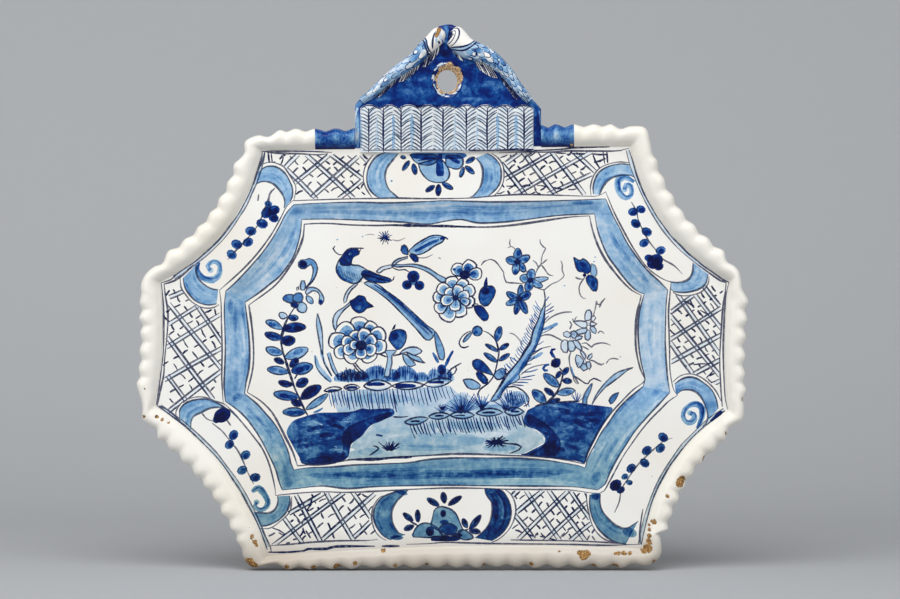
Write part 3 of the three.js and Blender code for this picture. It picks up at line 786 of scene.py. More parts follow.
# %% The double line just inside the rim
EDGE_LINES = (
    (-96.7, 105.5, -90, 105.1, -82, 104.8, -70, 104.5, -60, 104),
    (-94.5, 104.2, -87, 103.5, -77, 103.3, -67, 102.7, -62, 103.5),
    (-96.6, 105.4, -97.3, 102.5, -98.6, 97.3, -100.3, 92.2, -102, 88.4),
    (-95.2, 104.6, -96.2, 100.3, -98, 96.5, -99.4, 93.1, -101.1, 87.1),
    (28, 104, 38, 104.2, 57, 104.2, 64, 104.8, 88, 104.7, 93, 105.4, 97, 106.3),
    (-137, 45, -141, 41, -145, 37, -150, 35.5),
    (-150, 35.5, -149.8, 30, -148.8, 20, -149, 3, -150, -5, -152, -20, -153.3, -30),
    (-133, 45, -138, 40, -143, 36.5, -148.5, 34.7),
    (-148.5, 34.7, -147.7, 28, -146.5, 20, -146.8, 10, -148.3, -5, -148.8, -13, -150.3, -20, -152.5, -30),
    (-153.2, -30.5, -145, -35.5, -137, -42), (-151.5, -29.5, -147, -31.5, -140, -37.5),
    (133, 46, 140, 41.5, 146, 37, 149.5, 36.5),
    (149.5, 36.5, 149, 30, 147.5, 20, 147, 0, 146.8, -20, 147.5, -27, 149, -32),
    (131, 46, 138, 41, 144.5, 36.5, 147.5, 35.5),
    (147.5, 35.5, 147, 30, 145.8, 22, 144.5, 2, 144.3, -8, 145, -22, 145.7, -30),
    (-93, -103.5, -82, -102.8, -72, -101.8, -58, -101, -42, -100.8, -36, -100.2),
    (-98, -98, -96, -102, -95, -106), (-97.5, -94, -95.5, -98.5, -93, -103.3, -92.3, -107),
    (-21, -102.8, -10, -102.5, 0, -101.8, 15, -102.2, 34, -103, 65, -103, 84, -104, 102.5, -102.8),
    (34, -100.5, 55, -100.8, 75, -101.3, 95, -102.5), (104, -84, 103, -90, 102.3, -97, 102.5, -102.5),
)
for flat in EDGE_LINES:
    edge_line(flat)


def edge_pair(side, start, end):
    """Two lines with a thin wash between them, along one side of the field."""
    for away, width, trek, cobalt in ((1.75, 1.3, 0, 0.45), (1.0, 0.85, 0.95, 0), (2.6, 0.7, 0.85, 0)):
        flat = []
        for k in range(13):
            t = start + (end - start) * k / 12
            way = side(t + 1e-3) - side(t - 1e-3)
            inward = np.array((way[1], -way[0])) / np.hypot(*way)
            flat += list(side(t) + inward * (away + hand.uniform(-0.22, 0.22)))
        stroke(flat, width, cobalt, trek, step=2.5, ends=0.7)


for index, start, end in ((1, 0.02, 0.86), (3, 0.02, 0.98), (5, 0.04, 0.97), (7, 0.08, 0.97)):
    edge_pair(field_sides[index], start, end)
edge_line((-94, -107, -84, -107, -75, -106.2, -73, -105.3, -63, -105.2, -58, -104, -37.5, -103.8), 0.9, 0.9)
edge_line((-34, -103.8, -24.5, -103.8), 0.9, 0.9)
edge_line((26, 105.5, 36, 105.5, 46, 105, 60, 105.6, 65, 106.3, 75, 107.2, 81, 107.9, 86, 107.9), 0.75,
          0.9, 0.4)
print("edge lines:", len(EDGE_LINES))

# %% [markdown]
# ## The blue moulding
# A broad band of thinned cobalt fills the hollow moulding, laid on with a wide brush that left streaks
# along it. Two fine lines run on each side of the band with white glaze between them. The four rings
# of lines are drawn side by side, from the outermost to the innermost.

# %% Four rings of lines
RING_1 = (
    (-80.7, 78.6, -70, 79, -51, 79.6, -38, 79.8, -25, 80, -10, 79.7, 12, 80, 26, 81.2, 40, 81.9, 58, 81.5,
     74, 81, 80, 81.2, 84, 83.3),
    (84, 83.3, 88, 73.5, 92, 65.5, 96.5, 57.2, 100, 51.5, 105, 44.5, 110, 40, 115, 37, 118.5, 35.7),
    (118.5, 35.7, 118, 30, 117.2, 20, 117.5, 10, 117.8, 0, 118, -10, 118.8, -16, 120, -21, 122, -24),
    (122, -24, 117.5, -27, 113, -31.5, 108, -36.5, 103, -42.5, 98, -49.5, 93, -57, 89, -64.5, 86, -70,
     83.5, -74.5, 81, -75.8),
    (81, -75.8, 76, -75.5, 65, -74, 55, -73.8, 34, -73.7, 20, -73.2, 0, -73, -20, -73.8, -35, -74.6, -52,
     -75.3, -65, -75, -75, -75.5, -86, -76.5, -90, -77),
    (-90, -77, -90.3, -73, -92, -65, -94, -58.5, -97, -52, -101, -46.5, -107, -39, -112, -33, -117.5,
     -28),
    (-117.5, -28, -118.2, -15, -118, 0, -118.3, 15, -118.5, 25, -119.3, 31.5),
    (-119.3, 31.5, -113, 37, -107, 42.5, -100, 50, -94, 57.8, -90, 64, -86, 71.5, -84, 75.5, -80.7, 78.6),
)
RING_2 = (
    (-80, 76.6, -70, 77.2, -48, 77.8, -30, 77.5, -10, 78.2, 0, 78.6, 25, 78, 50, 78.4, 70, 79, 84, 79.6),
    (84, 79.6, 88, 70.5, 91, 65, 95, 57, 99, 51, 104, 44.3, 108, 40, 112, 36.5, 116.8, 31.5),
    (116.8, 31.5, 116, 25, 115.7, 15, 115.5, 5, 116, -5, 116.7, -14, 118, -22.5),
    (118, -22.5, 112, -29, 106, -35.5, 100, -42.5, 95, -50, 90, -58, 86, -66, 84, -71, 80, -74),
    (80, -74, 66, -72.3, 42, -72, 20, -71.8, -5, -71.6, -35, -72.2, -52, -73.3, -65.5, -72, -80, -73.5,
     -86.5, -74),
    (-86.5, -74, -88, -70, -90, -63, -93, -56.5, -97, -48.5, -101, -42, -106, -35.5, -111, -31, -116.3,
     -27.3),
    (-116.3, -27.3, -117, -20, -116.7, -10, -116.3, 0, -116.5, 10, -116.8, 22, -116, 31),
    (-116, 31, -112, 34.5, -107, 39.5, -102, 45, -97, 50.8, -92, 57.8, -88, 64.5, -85, 70.5, -82.5, 74,
     -80, 76.6),
)
RING_3 = (
    (-76, 68.7, -65, 68.9, -55, 68.7, -45, 68.3, -36, 67.9, -25, 67.4, -14, 66.4, -8, 66.3, -2, 67.5, 3,
     68.3, 8, 68.7, 13, 67.6, 18, 66.8, 30, 67.3, 42, 68.6, 50, 69.7, 58, 70.7, 68, 71.3, 78.3, 71.6),
    (78.3, 71.6, 79.2, 66, 81, 59.5, 85, 50, 90, 43, 95, 36.5, 100, 31.5, 104.5, 29.3),
    (104.5, 29.3, 102, 20, 101.3, 12, 101.7, 2, 103.2, -8, 105, -15, 104, -19.5),
    (104, -19.5, 101, -22, 95, -27, 90, -32.5, 86, -38.5, 82, -44, 78, -51.5, 75, -57, 73.5, -62.5),
    (73.5, -62.5, 70, -61.3, 55, -58.8, 45, -57.8, 36, -57.3, 22, -57.3, 8, -57.2, -5, -57.7, -12, -58.5,
     -20, -59.8, -35, -60.5, -48, -61, -60, -62, -73, -62.5, -80.3, -63.6),
    (-80.3, -63.6, -82, -60, -83, -55, -86, -47.5, -90, -40, -95, -34, -100, -28.5, -106.3, -23.3),
    (-106.3, -23.3, -105.5, -17, -104, -10, -103.6, -2, -104, 8, -105, 17, -106, 25),
    (-106, 25, -98, 30.5, -92, 35.3, -88, 38.5, -84, 43.5, -80, 50, -77, 60, -76, 68.7),
)
RING_4 = (
    (-74.7, 66.2, -68, 66.6, -60, 66.5, -50, 65.8, -36, 65.5, -28, 65.7, -12, 65.3, 0, 65.2, 16, 64.7, 25,
     64.8, 36, 65.8, 50, 67.8, 58, 69, 66, 70, 75.6, 70.6),
    (75.6, 70.6, 76.5, 66, 78, 60.5, 80.5, 54, 84, 47.5, 88, 42, 93, 36, 98, 31.3, 103, 28.7),
    (103, 28.7, 102, 24.5, 100.5, 18, 100, 10, 100.3, 0, 102.5, -10, 105, -15.8, 102.5, -18.6),
    (102.5, -18.6, 99, -21, 94, -26, 88, -32.5, 83, -39, 79, -46, 75, -54, 73, -60.5),
    (73, -60.5, 62, -58, 55, -57, 45, -56.3, 34, -56, 20, -55.4, 5, -55.2, -10, -56, -27, -57, -36, -57.8,
     -50, -58.2, -58, -59.5, -68, -60.6, -78.5, -61.5),
    (-78.5, -61.5, -81, -54, -85, -46, -88, -40, -92, -33, -98, -27, -105, -22.5),
    (-105, -22.5, -103.5, -17, -102, -10, -101.5, -2, -102, 8, -103, 17, -104, 23.5),
    (-104, 23.5, -101, 25.7, -95, 30, -90, 34, -85, 40, -80, 48, -77.5, 53, -75.2, 60, -74.7, 66.2),
)


def ring_area(ring, cobalt):
    places = [p for flat in ring for p in smooth(flat, step=2)[:-1]]
    shape(places, [tuple(range(len(places)))], cobalt, 0, True)


ring_area(RING_1, 0)
# How much cobalt each side of the band holds, clockwise from the top.
BAND = (1.1, 1.0, 0.72, 1.15, 1.3, 1.3, 1.3, 1.0)
for outer, inner, cobalt in zip(RING_2, RING_3, BAND):
    length_of_side = smooth(outer, step=2) + smooth(inner, step=2)[::-1]
    shape(length_of_side, [tuple(range(len(length_of_side)))], cobalt, 0)
for outer, inner, cobalt in zip(RING_2, RING_3, BAND):
    a, b = smooth(outer, step=3), smooth(inner, step=3)
    for _ in range(16):
        f = hand.uniform(0.04, 0.96)
        start = hand.uniform(0, 0.65)
        end = start + hand.uniform(0.2, 0.5)
        flat = []
        for k in range(5):
            t = min(1, start + (end - start) * k / 4)
            p = a[int(t * (len(a) - 1))] * (1 - f) + b[int(t * (len(b) - 1))] * f
            flat += list(p)
        stroke(flat, hand.uniform(0.8, 3.2), cobalt * hand.choice((-0.2, -0.15, -0.1, 0.15, 0.25, 0.35)),
               step=3, ends=0.2)
for row in (
        (-111, 17, 1.2, 8, 0.9, 0), (-113.5, 23, 1.4, 4, 1, 0), (-110, -25, 3, 2, 1.2, 40),
        (72, 77.6, 6, 1.3, 0.9, 0), (112, -21, 2, 5, 0.5, -40), (-84, -70, 3, 2.5, 0.8, 0),
        (79, -68, 2.5, 4, 0.8, -25), (-79, 73, 3.5, 2, 0.7, 20), (0, -66, 60, 2.4, 1.1, 0),
        (-50, -66.5, 24, 2, 0.9, 0), (40, -64.5, 28, 2, 0.9, 0), (20, 75.5, 30, 0.9, 0.35, 1),
        (-52, 75, 22, 0.9, 0.35, 0)):
    pool(*row, heart=0.55)
ring_area(RING_3, 0)
for ring, width in ((RING_1, 0.55), (RING_2, 0.55), (RING_3, 0.6), (RING_4, 0.75)):
    for flat in ring:
        line(flat, width, 0.8, step=2.5)
line((-28, 65.8, -12, 65.3, 0, 65.2, 6, 64.9, 16, 64.7), 0.9, 0.9)
line((-50, -58.2, -36, -57.9, -27, -57.1, -18, -56.8), 1, 0.9)
print("strokes after the moulding:", len(drawing))

# %% [markdown]
# ## The garden on the panel
# The panel shows a garden as old Delft copied it from Chinese export ware: a long-tailed bird on a
# flowering branch, peonies, a leafy stem, a leaning tree with blossoms, insects, stones and a bank.
# It is a traditional scene, painted here stroke by stroke from back to front. The ground comes
# first, because the plants stand in front of it.

# %% Banks and the ground
def hatch(x0, x1, top, bottom, spacing, lean, width, cobalt):
    """Short upright strokes side by side. Top and bottom are lines through placed points."""
    tx, tz = zip(*pairs(top))
    bx, bz = zip(*pairs(bottom))
    x = x0
    while x < x1:
        z0 = float(np.interp(x, tx, tz)) + hand.uniform(-0.5, 0.5)
        z1 = float(np.interp(x, bx, bz)) + hand.uniform(-1.2, 1.2)
        reach = lean * hand.uniform(0.7, 1.3)
        strength = cobalt * hand.uniform(0.75, 1.25)
        stroke((x, z0, x + reach * 0.4, (z0 + z1) / 2, x + reach, z1), width * hand.uniform(0.8, 1.2),
               strength, step=2.6)
        x += spacing * hand.uniform(0.75, 1.25)


def fan(x, z, low, high, near, far, count, width, cobalt, flat=1):
    """Fine strokes that spread from one place between two angles in degrees."""
    for k in range(count):
        a = math.radians(low + (high - low) * (k + hand.uniform(-0.3, 0.3)) / max(1, count - 1))
        reach = hand.uniform(near, far)
        ux, uz = math.cos(a), math.sin(a) * flat
        stroke((x + ux * 0.8, z + uz * 0.6, x + ux * reach * 0.5, z + uz * reach * 0.5,
                x + ux * reach, z + uz * reach), width, cobalt, step=2.4)


wash((-61, -22, -45, -21, -28, -20.8, -12, -20, 2, -19, 6, -23, 12, -27, 20, -29, 30, -29, 42, -32, 41,
      -38, 46, -42, 51, -45, 52, -49, 46, -52.5, 40, -55.3, 20, -55, 0, -55.3, -20, -57, -40, -58.3, -52,
      -58, -50.8, -52, -48, -48, -43, -43, -36, -38, -28, -34.5, -28, -32.5, -45, -33.5, -57, -34),
     0.66, sharp=True)
for x, z, rx, rz, strength in (
        (-5, -48, 26, 4, 0.3), (10, -40, 20, 2, 0.35), (-35, -26, 18, 2.5, 0.35), (-12, -52, 22, 1.6, 0.35),
        (28, -52, 9, 1.8, 0.45), (-25, -43, 10, 2, 0.25), (20, -45, 14, 1.5, -0.25), (-40, -54, 7, 2, 0.4)):
    wash(oval(x, z, rx, rz), strength)
LEFT_BANK = (
    -76.5, -59.8, -77.5, -57, -79.8, -53, -82, -49, -84, -45, -84, -42.5, -82, -39, -79.5, -37, -76,
    -35.8, -70, -34, -66, -33.3, -58, -33.2, -50, -32.7, -44, -31, -41, -31.5, -30, -31, -27.5, -32,
    -27.5, -34.5, -31, -36.3, -35.5, -38, -39, -39.5, -42, -42.5, -44.5, -45.8, -48, -48, -50, -50, -50.8,
    -53, -51.5, -56.5, -54, -58.5, -58, -60, -65, -60.7, -72, -60.8)
RIGHT_BANK = (
    43, -32, 46, -30.5, 50, -29, 56, -28.2, 66, -27.8, 70, -28, 76, -29, 84, -30, 88, -31, 86, -35, 83,
    -40, 80, -45, 77.5, -50, 75, -55, 73.5, -60, 69, -59, 60, -57.8, 50, -56.8, 39.5, -55.5, 42, -54.8,
    46.5, -52.5, 50, -50.8, 52, -49.3, 52.3, -47, 50.5, -44.5, 47.5, -42.3, 44.5, -41.3, 42, -40, 41, -37,
    42, -34)
wash(LEFT_BANK, 3.1)
wash(RIGHT_BANK, 3.1)
wash(oval(-81.3, -45, 3.2, 9, 5), -0.7)
wash(oval(-71, -43, 8, 2, 8), -0.5)
line((-76.5, -59.8, -72, -60.8, -65, -60.7, -58, -60), 0.7, 0.85)
wash((-27.5, -32.8, -36, -34.5, -46, -38, -52, -41, -55, -46, -54.5, -52, -56.5, -56.5, -66, -56.5, -73,
      -58, -72, -60.3, -58, -59.6, -52, -57, -50.8, -51, -45, -46, -40.5, -40.7, -33, -37.2),
     1.6)
wash((43.5, -34, 48, -36, 54, -40, 58.5, -45, 60.8, -50, 58, -56, 50, -56.3, 44, -55.3, 50, -51.5, 53,
      -48.5, 51.5, -44.5, 47, -41.5, 42.8, -38.5),
     1.7)
for _ in range(150):
    left = hand.random() < 0.5
    x = hand.uniform(-78, -50) if left else hand.uniform(52, 80)
    z = hand.uniform(-58, -34) if left else hand.uniform(-56, -30)
    if inside([(x, z)], pairs(LEFT_BANK if left else RIGHT_BANK))[0]:
        if hand.random() < 0.35:
            wash(oval(x, z, hand.uniform(2, 6.5), hand.uniform(0.8, 2), hand.uniform(-25, 25), 8),
                 hand.choice((-0.8, -0.5, -0.3, 0.6, 1.1, 1.5)))
        else:
            wash(oval(x, z, hand.uniform(0.3, 1.6), hand.uniform(0.2, 0.45), hand.uniform(-30, 30), 6),
                 hand.choice((-1.1, -0.7, 1, 1.5)))
line((47, -30, 52, -28.5, 60, -27.8, 70.5, -27.3), 0.8, 0.9)
line((30, -49.6, 34, -49.8, 38, -50.3, 39.8, -51.5, 38.5, -53, 33.5, -55))
line((-38.5, -50.8, -35.5, -52.3, -40.5, -56))
line((-28, -35.5, -24, -35.7, -20, -35.3))
stroke((-37, -45, -33.5, -45.7), 1, 2.5)
print("strokes after the banks:", len(drawing))

# %% Two rows of stones with grass below them
STONES = (
    # from x, z to x, z, rise above, fall below, dash from x to x, its height and width
    (-64.5, -21.8, -55, -20.6, 1.5, 0.9, -62.3, -57, -21.6, 1.1),
    (-54, -20, -45.5, -19.8, 1.5, 1.6, -52.8, -46.8, -20.1, 1.3),
    (-43.6, -19.3, -28.6, -19.2, 3.3, 2.4, -42, -32.3, -18.4, 1.7),
    (-28.6, -19.2, -11.6, -18.6, 1.9, 2.2, -26.8, -16, -19.3, 1.9),
    (-11.6, -18.5, 3, -16.3, 2.2, 2.3, -9.3, -1, -17.4, 1.5),
    (-22, -38.4, -9.3, -36.3, 1.6, 2.3, -18.8, -13.8, -38, 1.4),
    (-9.3, -35.4, 2, -34.6, 1.7, 1.8, -6, -1, -35.1, 1), (2, -34.6, 15, -34.6, 2, 1.9, 4.5, 10, -34.9, 1),
    (15.8, -33.7, 30, -33.2, 2.4, 1.7, 19, 26, -33.4, 1.6),
    (30.8, -32.8, 41, -32.8, 2.3, 2.1, 34, 38.8, -32.9, 1.4),
)
hatch(-62, -28, (-62, -22, -28, -20.5), (-62, -30, -40, -32, -28, -32), 1.7, 1.9, 0.6, 3.2)
hatch(-28, 3, (-28, -20.8, 3, -19.3), (-28, -29, -14, -29, 3, -25), 1.9, 2, 0.6, 3.2)
hatch(-60, -28, (-60, -24, -28, -22), (-60, -28, -28, -29), 3.1, 1.5, 0.9, 0.8)
hatch(-19, 41, (-19, -39.5, 2, -36.5, 41, -34.5), (-19, -46, 4, -44, 20, -43, 41, -40.5), 1.6, 2.4, 0.7,
      3.6)
for x0, z0, x1, z1, rise, fall, start, end, height, width in STONES:
    lens = []
    for k in range(17):
        # Two bows that meet in a point at each end: the upper one forth, the lower one back.
        t = k / 8 if k <= 8 else 2 - k / 8
        bow = math.sin(math.pi * t) ** 0.75 * (rise if k <= 8 else -fall)
        lens += [x0 + (x1 - x0) * t, z0 + (z1 - z0) * t + bow]
    lower_row = z0 < -30
    wash(lens[:-2], 0.95 if lower_row else 0.15, 0.95, width=0.62, sharp=True, clears=True)
    stroke((start, height, (start + end) / 2, height + 0.2, end, height + 0.1), width, 4.4, ends=0.5)
    stroke((x0 + 2, z0 - fall * 0.5, (x0 + x1) / 2, (z0 + z1) / 2 - fall * 0.75, x1 - 2, z1 - fall * 0.5),
           0.9, 0.6)
wash((-2, -32, 3, -26, 9, -22.5, 16, -26, 24, -27, 31, -23, 38, -25, 40, -30, 22, -31.5), 0.4)
wash(oval(37.6, -25.5, 6.2, 3.6), 0.8)
wash(oval(37, -27.5, 4.6, 1.8), 0.8)
fan(9, -34, 25, 165, 7, 12.5, 25, 0.5, 2.2)
fan(19, -31.5, 45, 135, 4, 10, 15, 0.55, 2)
fan(34, -33, 30, 145, 7, 11.5, 21, 0.5, 2.2)
fan(-2, -33.5, 40, 140, 3, 6, 9, 0.5, 2)
for x in (-2, 8, 19, 31):
    fan(x, -32.5, 60, 120, 2, 4, 5, 0.8, 3)
line((31.5, -20, 36, -19.5, 39.5, -21, 42, -23, 43.8, -26, 43, -29, 41, -30))
hatch(32, 43, (32, -21, 43, -24), (32, -28, 43, -29.5), 1.2, 1.6, 0.6, 2)
fan(26.3, -49, 0, 345, 4, 7.4, 19, 0.8, 4.2, flat=0.55)
blob(26.3, -49, 3, 1.4, 3.4)
fan(-30, -54, 25, 150, 4, 8.5, 13, 0.6, 4)
fan(-29, -54, 50, 120, 3, 6, 6, 0.7, 3)
print("strokes after the stones:", len(drawing))

# %% Grass and low leaves along the ground
TUFTS = (
    # x, half width, height, strength, darkness of the blades
    (-55.5, 3.5, 5, 1.9, 3.5), (-50.5, 5.5, 6.8, 2, 3.6), (-44.5, 4, 5.8, 1.9, 3),
    (-37, 7, 8.6, 1.9, 2.2), (-21.5, 6.5, 8.6, 1.8, 2.2), (-28, 3.5, 7, 1.7, 2), (-13, 4, 5, 1.7, 1.8),
    (-6.5, 3.5, 7, 1.5, 2.4), (0, 4, 7, 1.2, 2.6),
)
for x, half, height, strength, dark in TUFTS:
    low = -16.6
    wash((x - half, low, x - half * 0.85, low + height * 0.6, x - half * 0.3, low + height * 0.9,
          x + half * 0.3, low + height * 0.9, x + half * 0.85, low + height * 0.6, x + half, low),
         strength * 0.75)
    wash(oval(x, low + height * 0.35, half * 0.8, height * 0.3, 0, 9), strength * 0.3)
    blades = int(half * 3.4)
    for k in range(blades):
        u = 2 * (k + hand.uniform(0.2, 0.8)) / blades - 1
        rise = height * math.sqrt(max(0.08, 1 - u * u)) * hand.uniform(0.85, 1.08)
        first = low + rise * hand.uniform(0, 0.5)
        stroke((x + half * u * 0.92, first, x + half * u * 0.95, (first + low + rise) / 2, x + half * u,
                low + rise),
               hand.uniform(0.4, 0.7), dark * hand.uniform(0.5, 1), step=2.6, ends=0.3)
for x, z0, z1 in (
        (-52.8, -17.5, -9.3), (-50.8, -17, -10), (-48.5, -16.5, -9.8), (-54.8, -17, -11.5),
        (-46.5, -16.5, -11)):
    line((x + 1.2, z0, x + 0.6, (z0 + z1) / 2, x, z1), 0.6, 0.9)
blob(-2.3, -10.5, 2.4, 2.8, 5.2)
wash((-6.2, 8.5, -5.5, 3, -4.5, -1.5, -3.3, -5, -1.5, -5.5, -0.8, -3, -1.2, 0.5, -3, 5, -5.5, 9.5), 1.5,
     0.8)
stroke((3.8, -0.5, 1.8, -4, -0.5, -9), 1.9, 3)
stroke((-7, -1.5, -5.4, -4.3, -4, -7), 1.4, 2.6)
line((1.5, -14.5, 4.5, -12.5, 5.5, -10.5, 5, -8.5))
line((0.5, -13, 3, -10, 5, -8.8, 8.2, -7))
line((-49.5, -6.8, -48, -9, -46, -11.5, -43, -13.5))
line((-48.3, -6.5, -46.8, -8.6, -44.8, -10.8, -42, -12.5))
wash((-33, -0.5, -31, -3, -31, -6, -32, -11, -32.5, -14, -30, -14, -29.5, -11, -28.5, -7, -28.5, -3, -26,
      -0.5),
     0.9, 0.75, clears=True)
line((-36, -2, -31, -4))
line((-28, -3.2, -23.5, -2.3))
for flat, strength in (
        ((-24.8, -2.8, -23, -0.5, -19.5, 1.2, -15.5, 1.2, -12.7, -0.8, -15, -2.5, -18, -2.8, -21, -1.3),
         0.9),
        ((-21, -1.2, -17, -3, -14, -4, -12.5, -6, -11, -7.2, -16, -5.8, -19, -4.2), 1),
        ((-22.8, -2, -22.5, -5, -20.5, -8.3, -18, -8.8, -16, -8, -18, -5.5, -20.5, -3), 1)):
    wash(flat, strength, 0.85, clears=True)
print("strokes after the grass:", len(drawing))

# %% The leafy stem on the left
wash((-77.8, 44, -77.9, 46, -76.5, 47.3, -74, 47.5, -72, 48.2, -69.8, 47.3, -68.2, 45, -67.8, 42.5, -68.6,
      39.5, -70.3, 36.2, -72.5, 33.8, -74.5, 32, -71.5, 36, -70.8, 38, -70.1, 41, -70.3, 43.5, -71.3, 45,
      -73, 44, -74.5, 42.8, -76.3, 42.8),
     1.5, 0.85)
blob(-75.3, 45.1, 2.2, 2, 4)
wash((-76.5, 31.5, -76.8, 34, -76.2, 36.3, -74.8, 36.4, -74.1, 34.5, -74.6, 31.5), 1, 0.8)
line((-78.6, 31, -78.7, 32.8, -78, 33.4, -77.6, 31.5))
wash((-74.2, 30.5, -73, 32.5, -70, 32.9, -67, 31.5, -64.9, 28.5, -64.4, 26, -66, 23.6, -67.2, 24.6, -66.6,
      28.4, -68, 30.6, -70.5, 31, -73.5, 29),
     0.9, 0.8)
blob(-66, 25.3, 1, 1.4, 3)
leaf(-73.5, 28.3, -70.3, 24.4, 3, 1.6)
wash((-86.2, 27.2, -84.5, 28.9, -81, 29.1, -80, 28, -81, 24.6, -85.6, 26), 2.3, 0.85, clears=True)
wash((-80.5, 28.5, -79, 29.8, -76.5, 29.8, -75.3, 27.5, -76, 25.5, -78.5, 25, -80.7, 26), 2.2, 0.85,
     clears=True)
wash((-78.5, 23, -77, 25, -75.5, 25, -73.8, 23.8, -73.3, 21.8, -74, 20, -76.5, 19.6, -78.5, 21.2), 1.3,
     0.85, clears=True)
wash((-82, 24.8, -81.5, 23, -79.5, 22, -78, 23, -78.5, 24.8), 4.5, 0.8)
line((-80, 22, -82.3, 18.6, -84, 15.5, -85.3, 12.5, -86.3, 8.5, -87, 6, -86.8, 2.5, -86, -1.5, -84.5, -6,
      -83.2, -10.5, -81.5, -15.5, -80, -20, -77.8, -25, -76, -29, -74.3, -32.5, -73, -34.8),
     0.9, 0.95)
LEAVES_OF_STEM = (
    (-83.8, 17.5, -88, 19, 3, 0.8), (-83, 17.3, -78, 16.8, 2.8, 4), (-86.5, 11, -95, 15, 3.5, 2),
    (-86.5, 10.8, -74, 12, 4.4, 5.5), (-86.3, 6, -95.5, 8.5, 3.6, 4), (-87, 5, -79.5, 5, 4.8, 6),
    (-86.3, -2, -95, 0.7, 4, 2.2), (-84.8, -4.2, -72.8, 0.5, 5, 1.7), (-85.5, -7.2, -90.6, -5, 2.6, 5),
    (-82.3, -9, -78.3, -4.5, 3.5, 5.5), (-83.3, -12, -94.3, -10.3, 3.8, 2),
    (-81.5, -11.5, -70.3, -8.5, 5.4, 3.5), (-81, -18.5, -88.3, -17, 3, 5.5),
    (-79, -19, -73, -15.8, 4.2, 4.5), (-77.8, -25, -91, -23.2, 4.4, 2.8),
    (-76.5, -25.8, -66, -19.3, 5, 5.5), (-76.3, -29.3, -81.6, -27, 3.2, 6),
    (-73.8, -31.5, -62.5, -23.5, 3.2, 2.2), (-74.3, -33, -86.3, -33, 4, 3),
)
for x0, z0, x1, z1, width, strength in LEAVES_OF_STEM:
    leaf(x0, z0, x1, z1, width * 1.14, strength, hand.uniform(-0.4, 0.4))
line((-80, -15.5, -78, -12.3))
stroke((-70, -33.3, -67.5, -32.4, -65, -30.8), 1, 2)
wash((-67.8, 19.2, -68.4, 14, -67.7, 9, -66.8, 4, -66, 0, -65, -3, -65.2, 8, -66, 13), 0.8, 0.8)
stroke((-66, 0, -64.8, -5, -62.5, -10, -60.3, -14), 1.4, 0.9)
line((-65, -3, -64.3, -7, -62, -11, -60.3, -14))
stroke((-69.2, -3, -67.5, -9, -64, -13.5, -60.5, -17), 2.4, 1.1)
line((-69.2, -3, -68.4, -9, -65, -13.8, -60.8, -17.3), 0.45)
stroke((-62, -1.5, -60.5, -6.5, -59, -10.5, -56.5, -14.5), 1.8, 1.2)
line((-61.2, -1.5, -59.8, -6.3, -58.1, -10.3, -56.2, -14.5), 0.4)
line((-62.8, -2, -61.3, -6.8, -59.8, -11, -57, -14.8), 0.4)
print("strokes after the left stem:", len(drawing))

# %% The bird and its perch
for flat, strength in (
        ((-48, 34.8, -51, 32.5, -53, 29.5, -54, 26.5, -53.8, 24.5, -52.5, 25.5, -51.8, 28.5, -49.5, 32,
          -46.5, 34.6),
         0.5),
        ((-50.5, 25.3, -54, 22.3, -57, 20.5, -59, 18, -59.7, 14.5, -58.9, 11, -57.8, 10, -56.8, 10.3,
          -57.5, 12, -57.5, 15, -56, 18, -53.5, 21.2, -50.3, 24),
         0.7),
        ((-28.5, 44.9, -23, 44.9, -18, 45.2, -14, 44.6, -9, 42.8, -4, 39.6, 0.3, 37.3, -2.3, 35.6, -7,
          39.2, -11, 41.6, -15, 43.1, -20, 44, -26, 43.6),
         1),
        ((-36.8, 41.2, -34, 43.6, -28.5, 44.8, -28.3, 43.4, -33, 42, -35, 40.4), 0.5),
        ((-29, 44.3, -27.5, 46.3, -25, 48, -21.5, 48.8, -20, 49.3, -20.5, 48.2, -23.5, 47.3, -26, 45.8,
          -27.8, 43.8),
         0.8)):
    wash(flat, strength, 0.85)
line((-28, 43.2, -25, 42, -21.5, 42.3, -19.5, 41))
wash((-50.8, 25.5, -48, 27, -46, 28.7, -44, 28.3, -42.8, 27.8, -42, 25.5, -40.5, 24.3, -38.2, 22.8, -40,
      22.5, -42, 21.8, -43.5, 20.2, -46, 19.3, -47.5, 20, -49.5, 22),
     4.3, 0.9)
blob(-46.5, 22.3, 2, 1.5, -1.5)
blob(-45, 26, 1.6, 1, 1.5)
TAIL = (
    -41.5, 36, -36, 34.5, -31.5, 31, -25, 26.5, -20, 22, -15, 17.3, -10, 12.7, -6, 9.8, -7, 6.5, -8.5, 5,
    -10.5, 5.2, -12, 6.5, -15, 10.2, -20, 15.6, -25, 20.8, -30, 25.8, -35, 29.7, -38, 31.8, -43.3, 35.1)
wash(TAIL, 1.1, 0.9)
stroke((-38, 34.3, -31, 29.8, -25, 25.2, -15, 15.8, -7, 8.8), 1.5, 2.2)
stroke((-40, 34, -33, 29.6, -25, 23.4, -16, 14.5, -8.5, 7.2), 1, 1)
line((-36, 32.8, -30, 28.5, -24, 23.5, -18, 17.5, -12, 11.5, -8.5, 8), 0.4, 0.6)
line((-12, 13, -10, 11, -8, 9, -6.5, 6.8), 0.4, 0.6)
wash((-54.8, 49.3, -56.8, 46.5, -57.9, 43, -57.7, 41, -56.3, 38.5, -54.5, 36.8, -52, 35.8, -49.5, 35,
      -47.3, 35.1, -45.3, 36.5, -43.5, 38.5, -41, 38, -39, 39.5, -41, 41.6, -43.5, 43.2, -46.5, 44.6, -50,
      44.9),
     1.3, 0.9, clears=True)
stroke((-56.3, 44, -55.8, 40.5, -52.5, 37.3, -49, 36.2), 2.6, 0.8)
stroke((-52, 45, -51, 41, -48, 39), 2, 0.5)
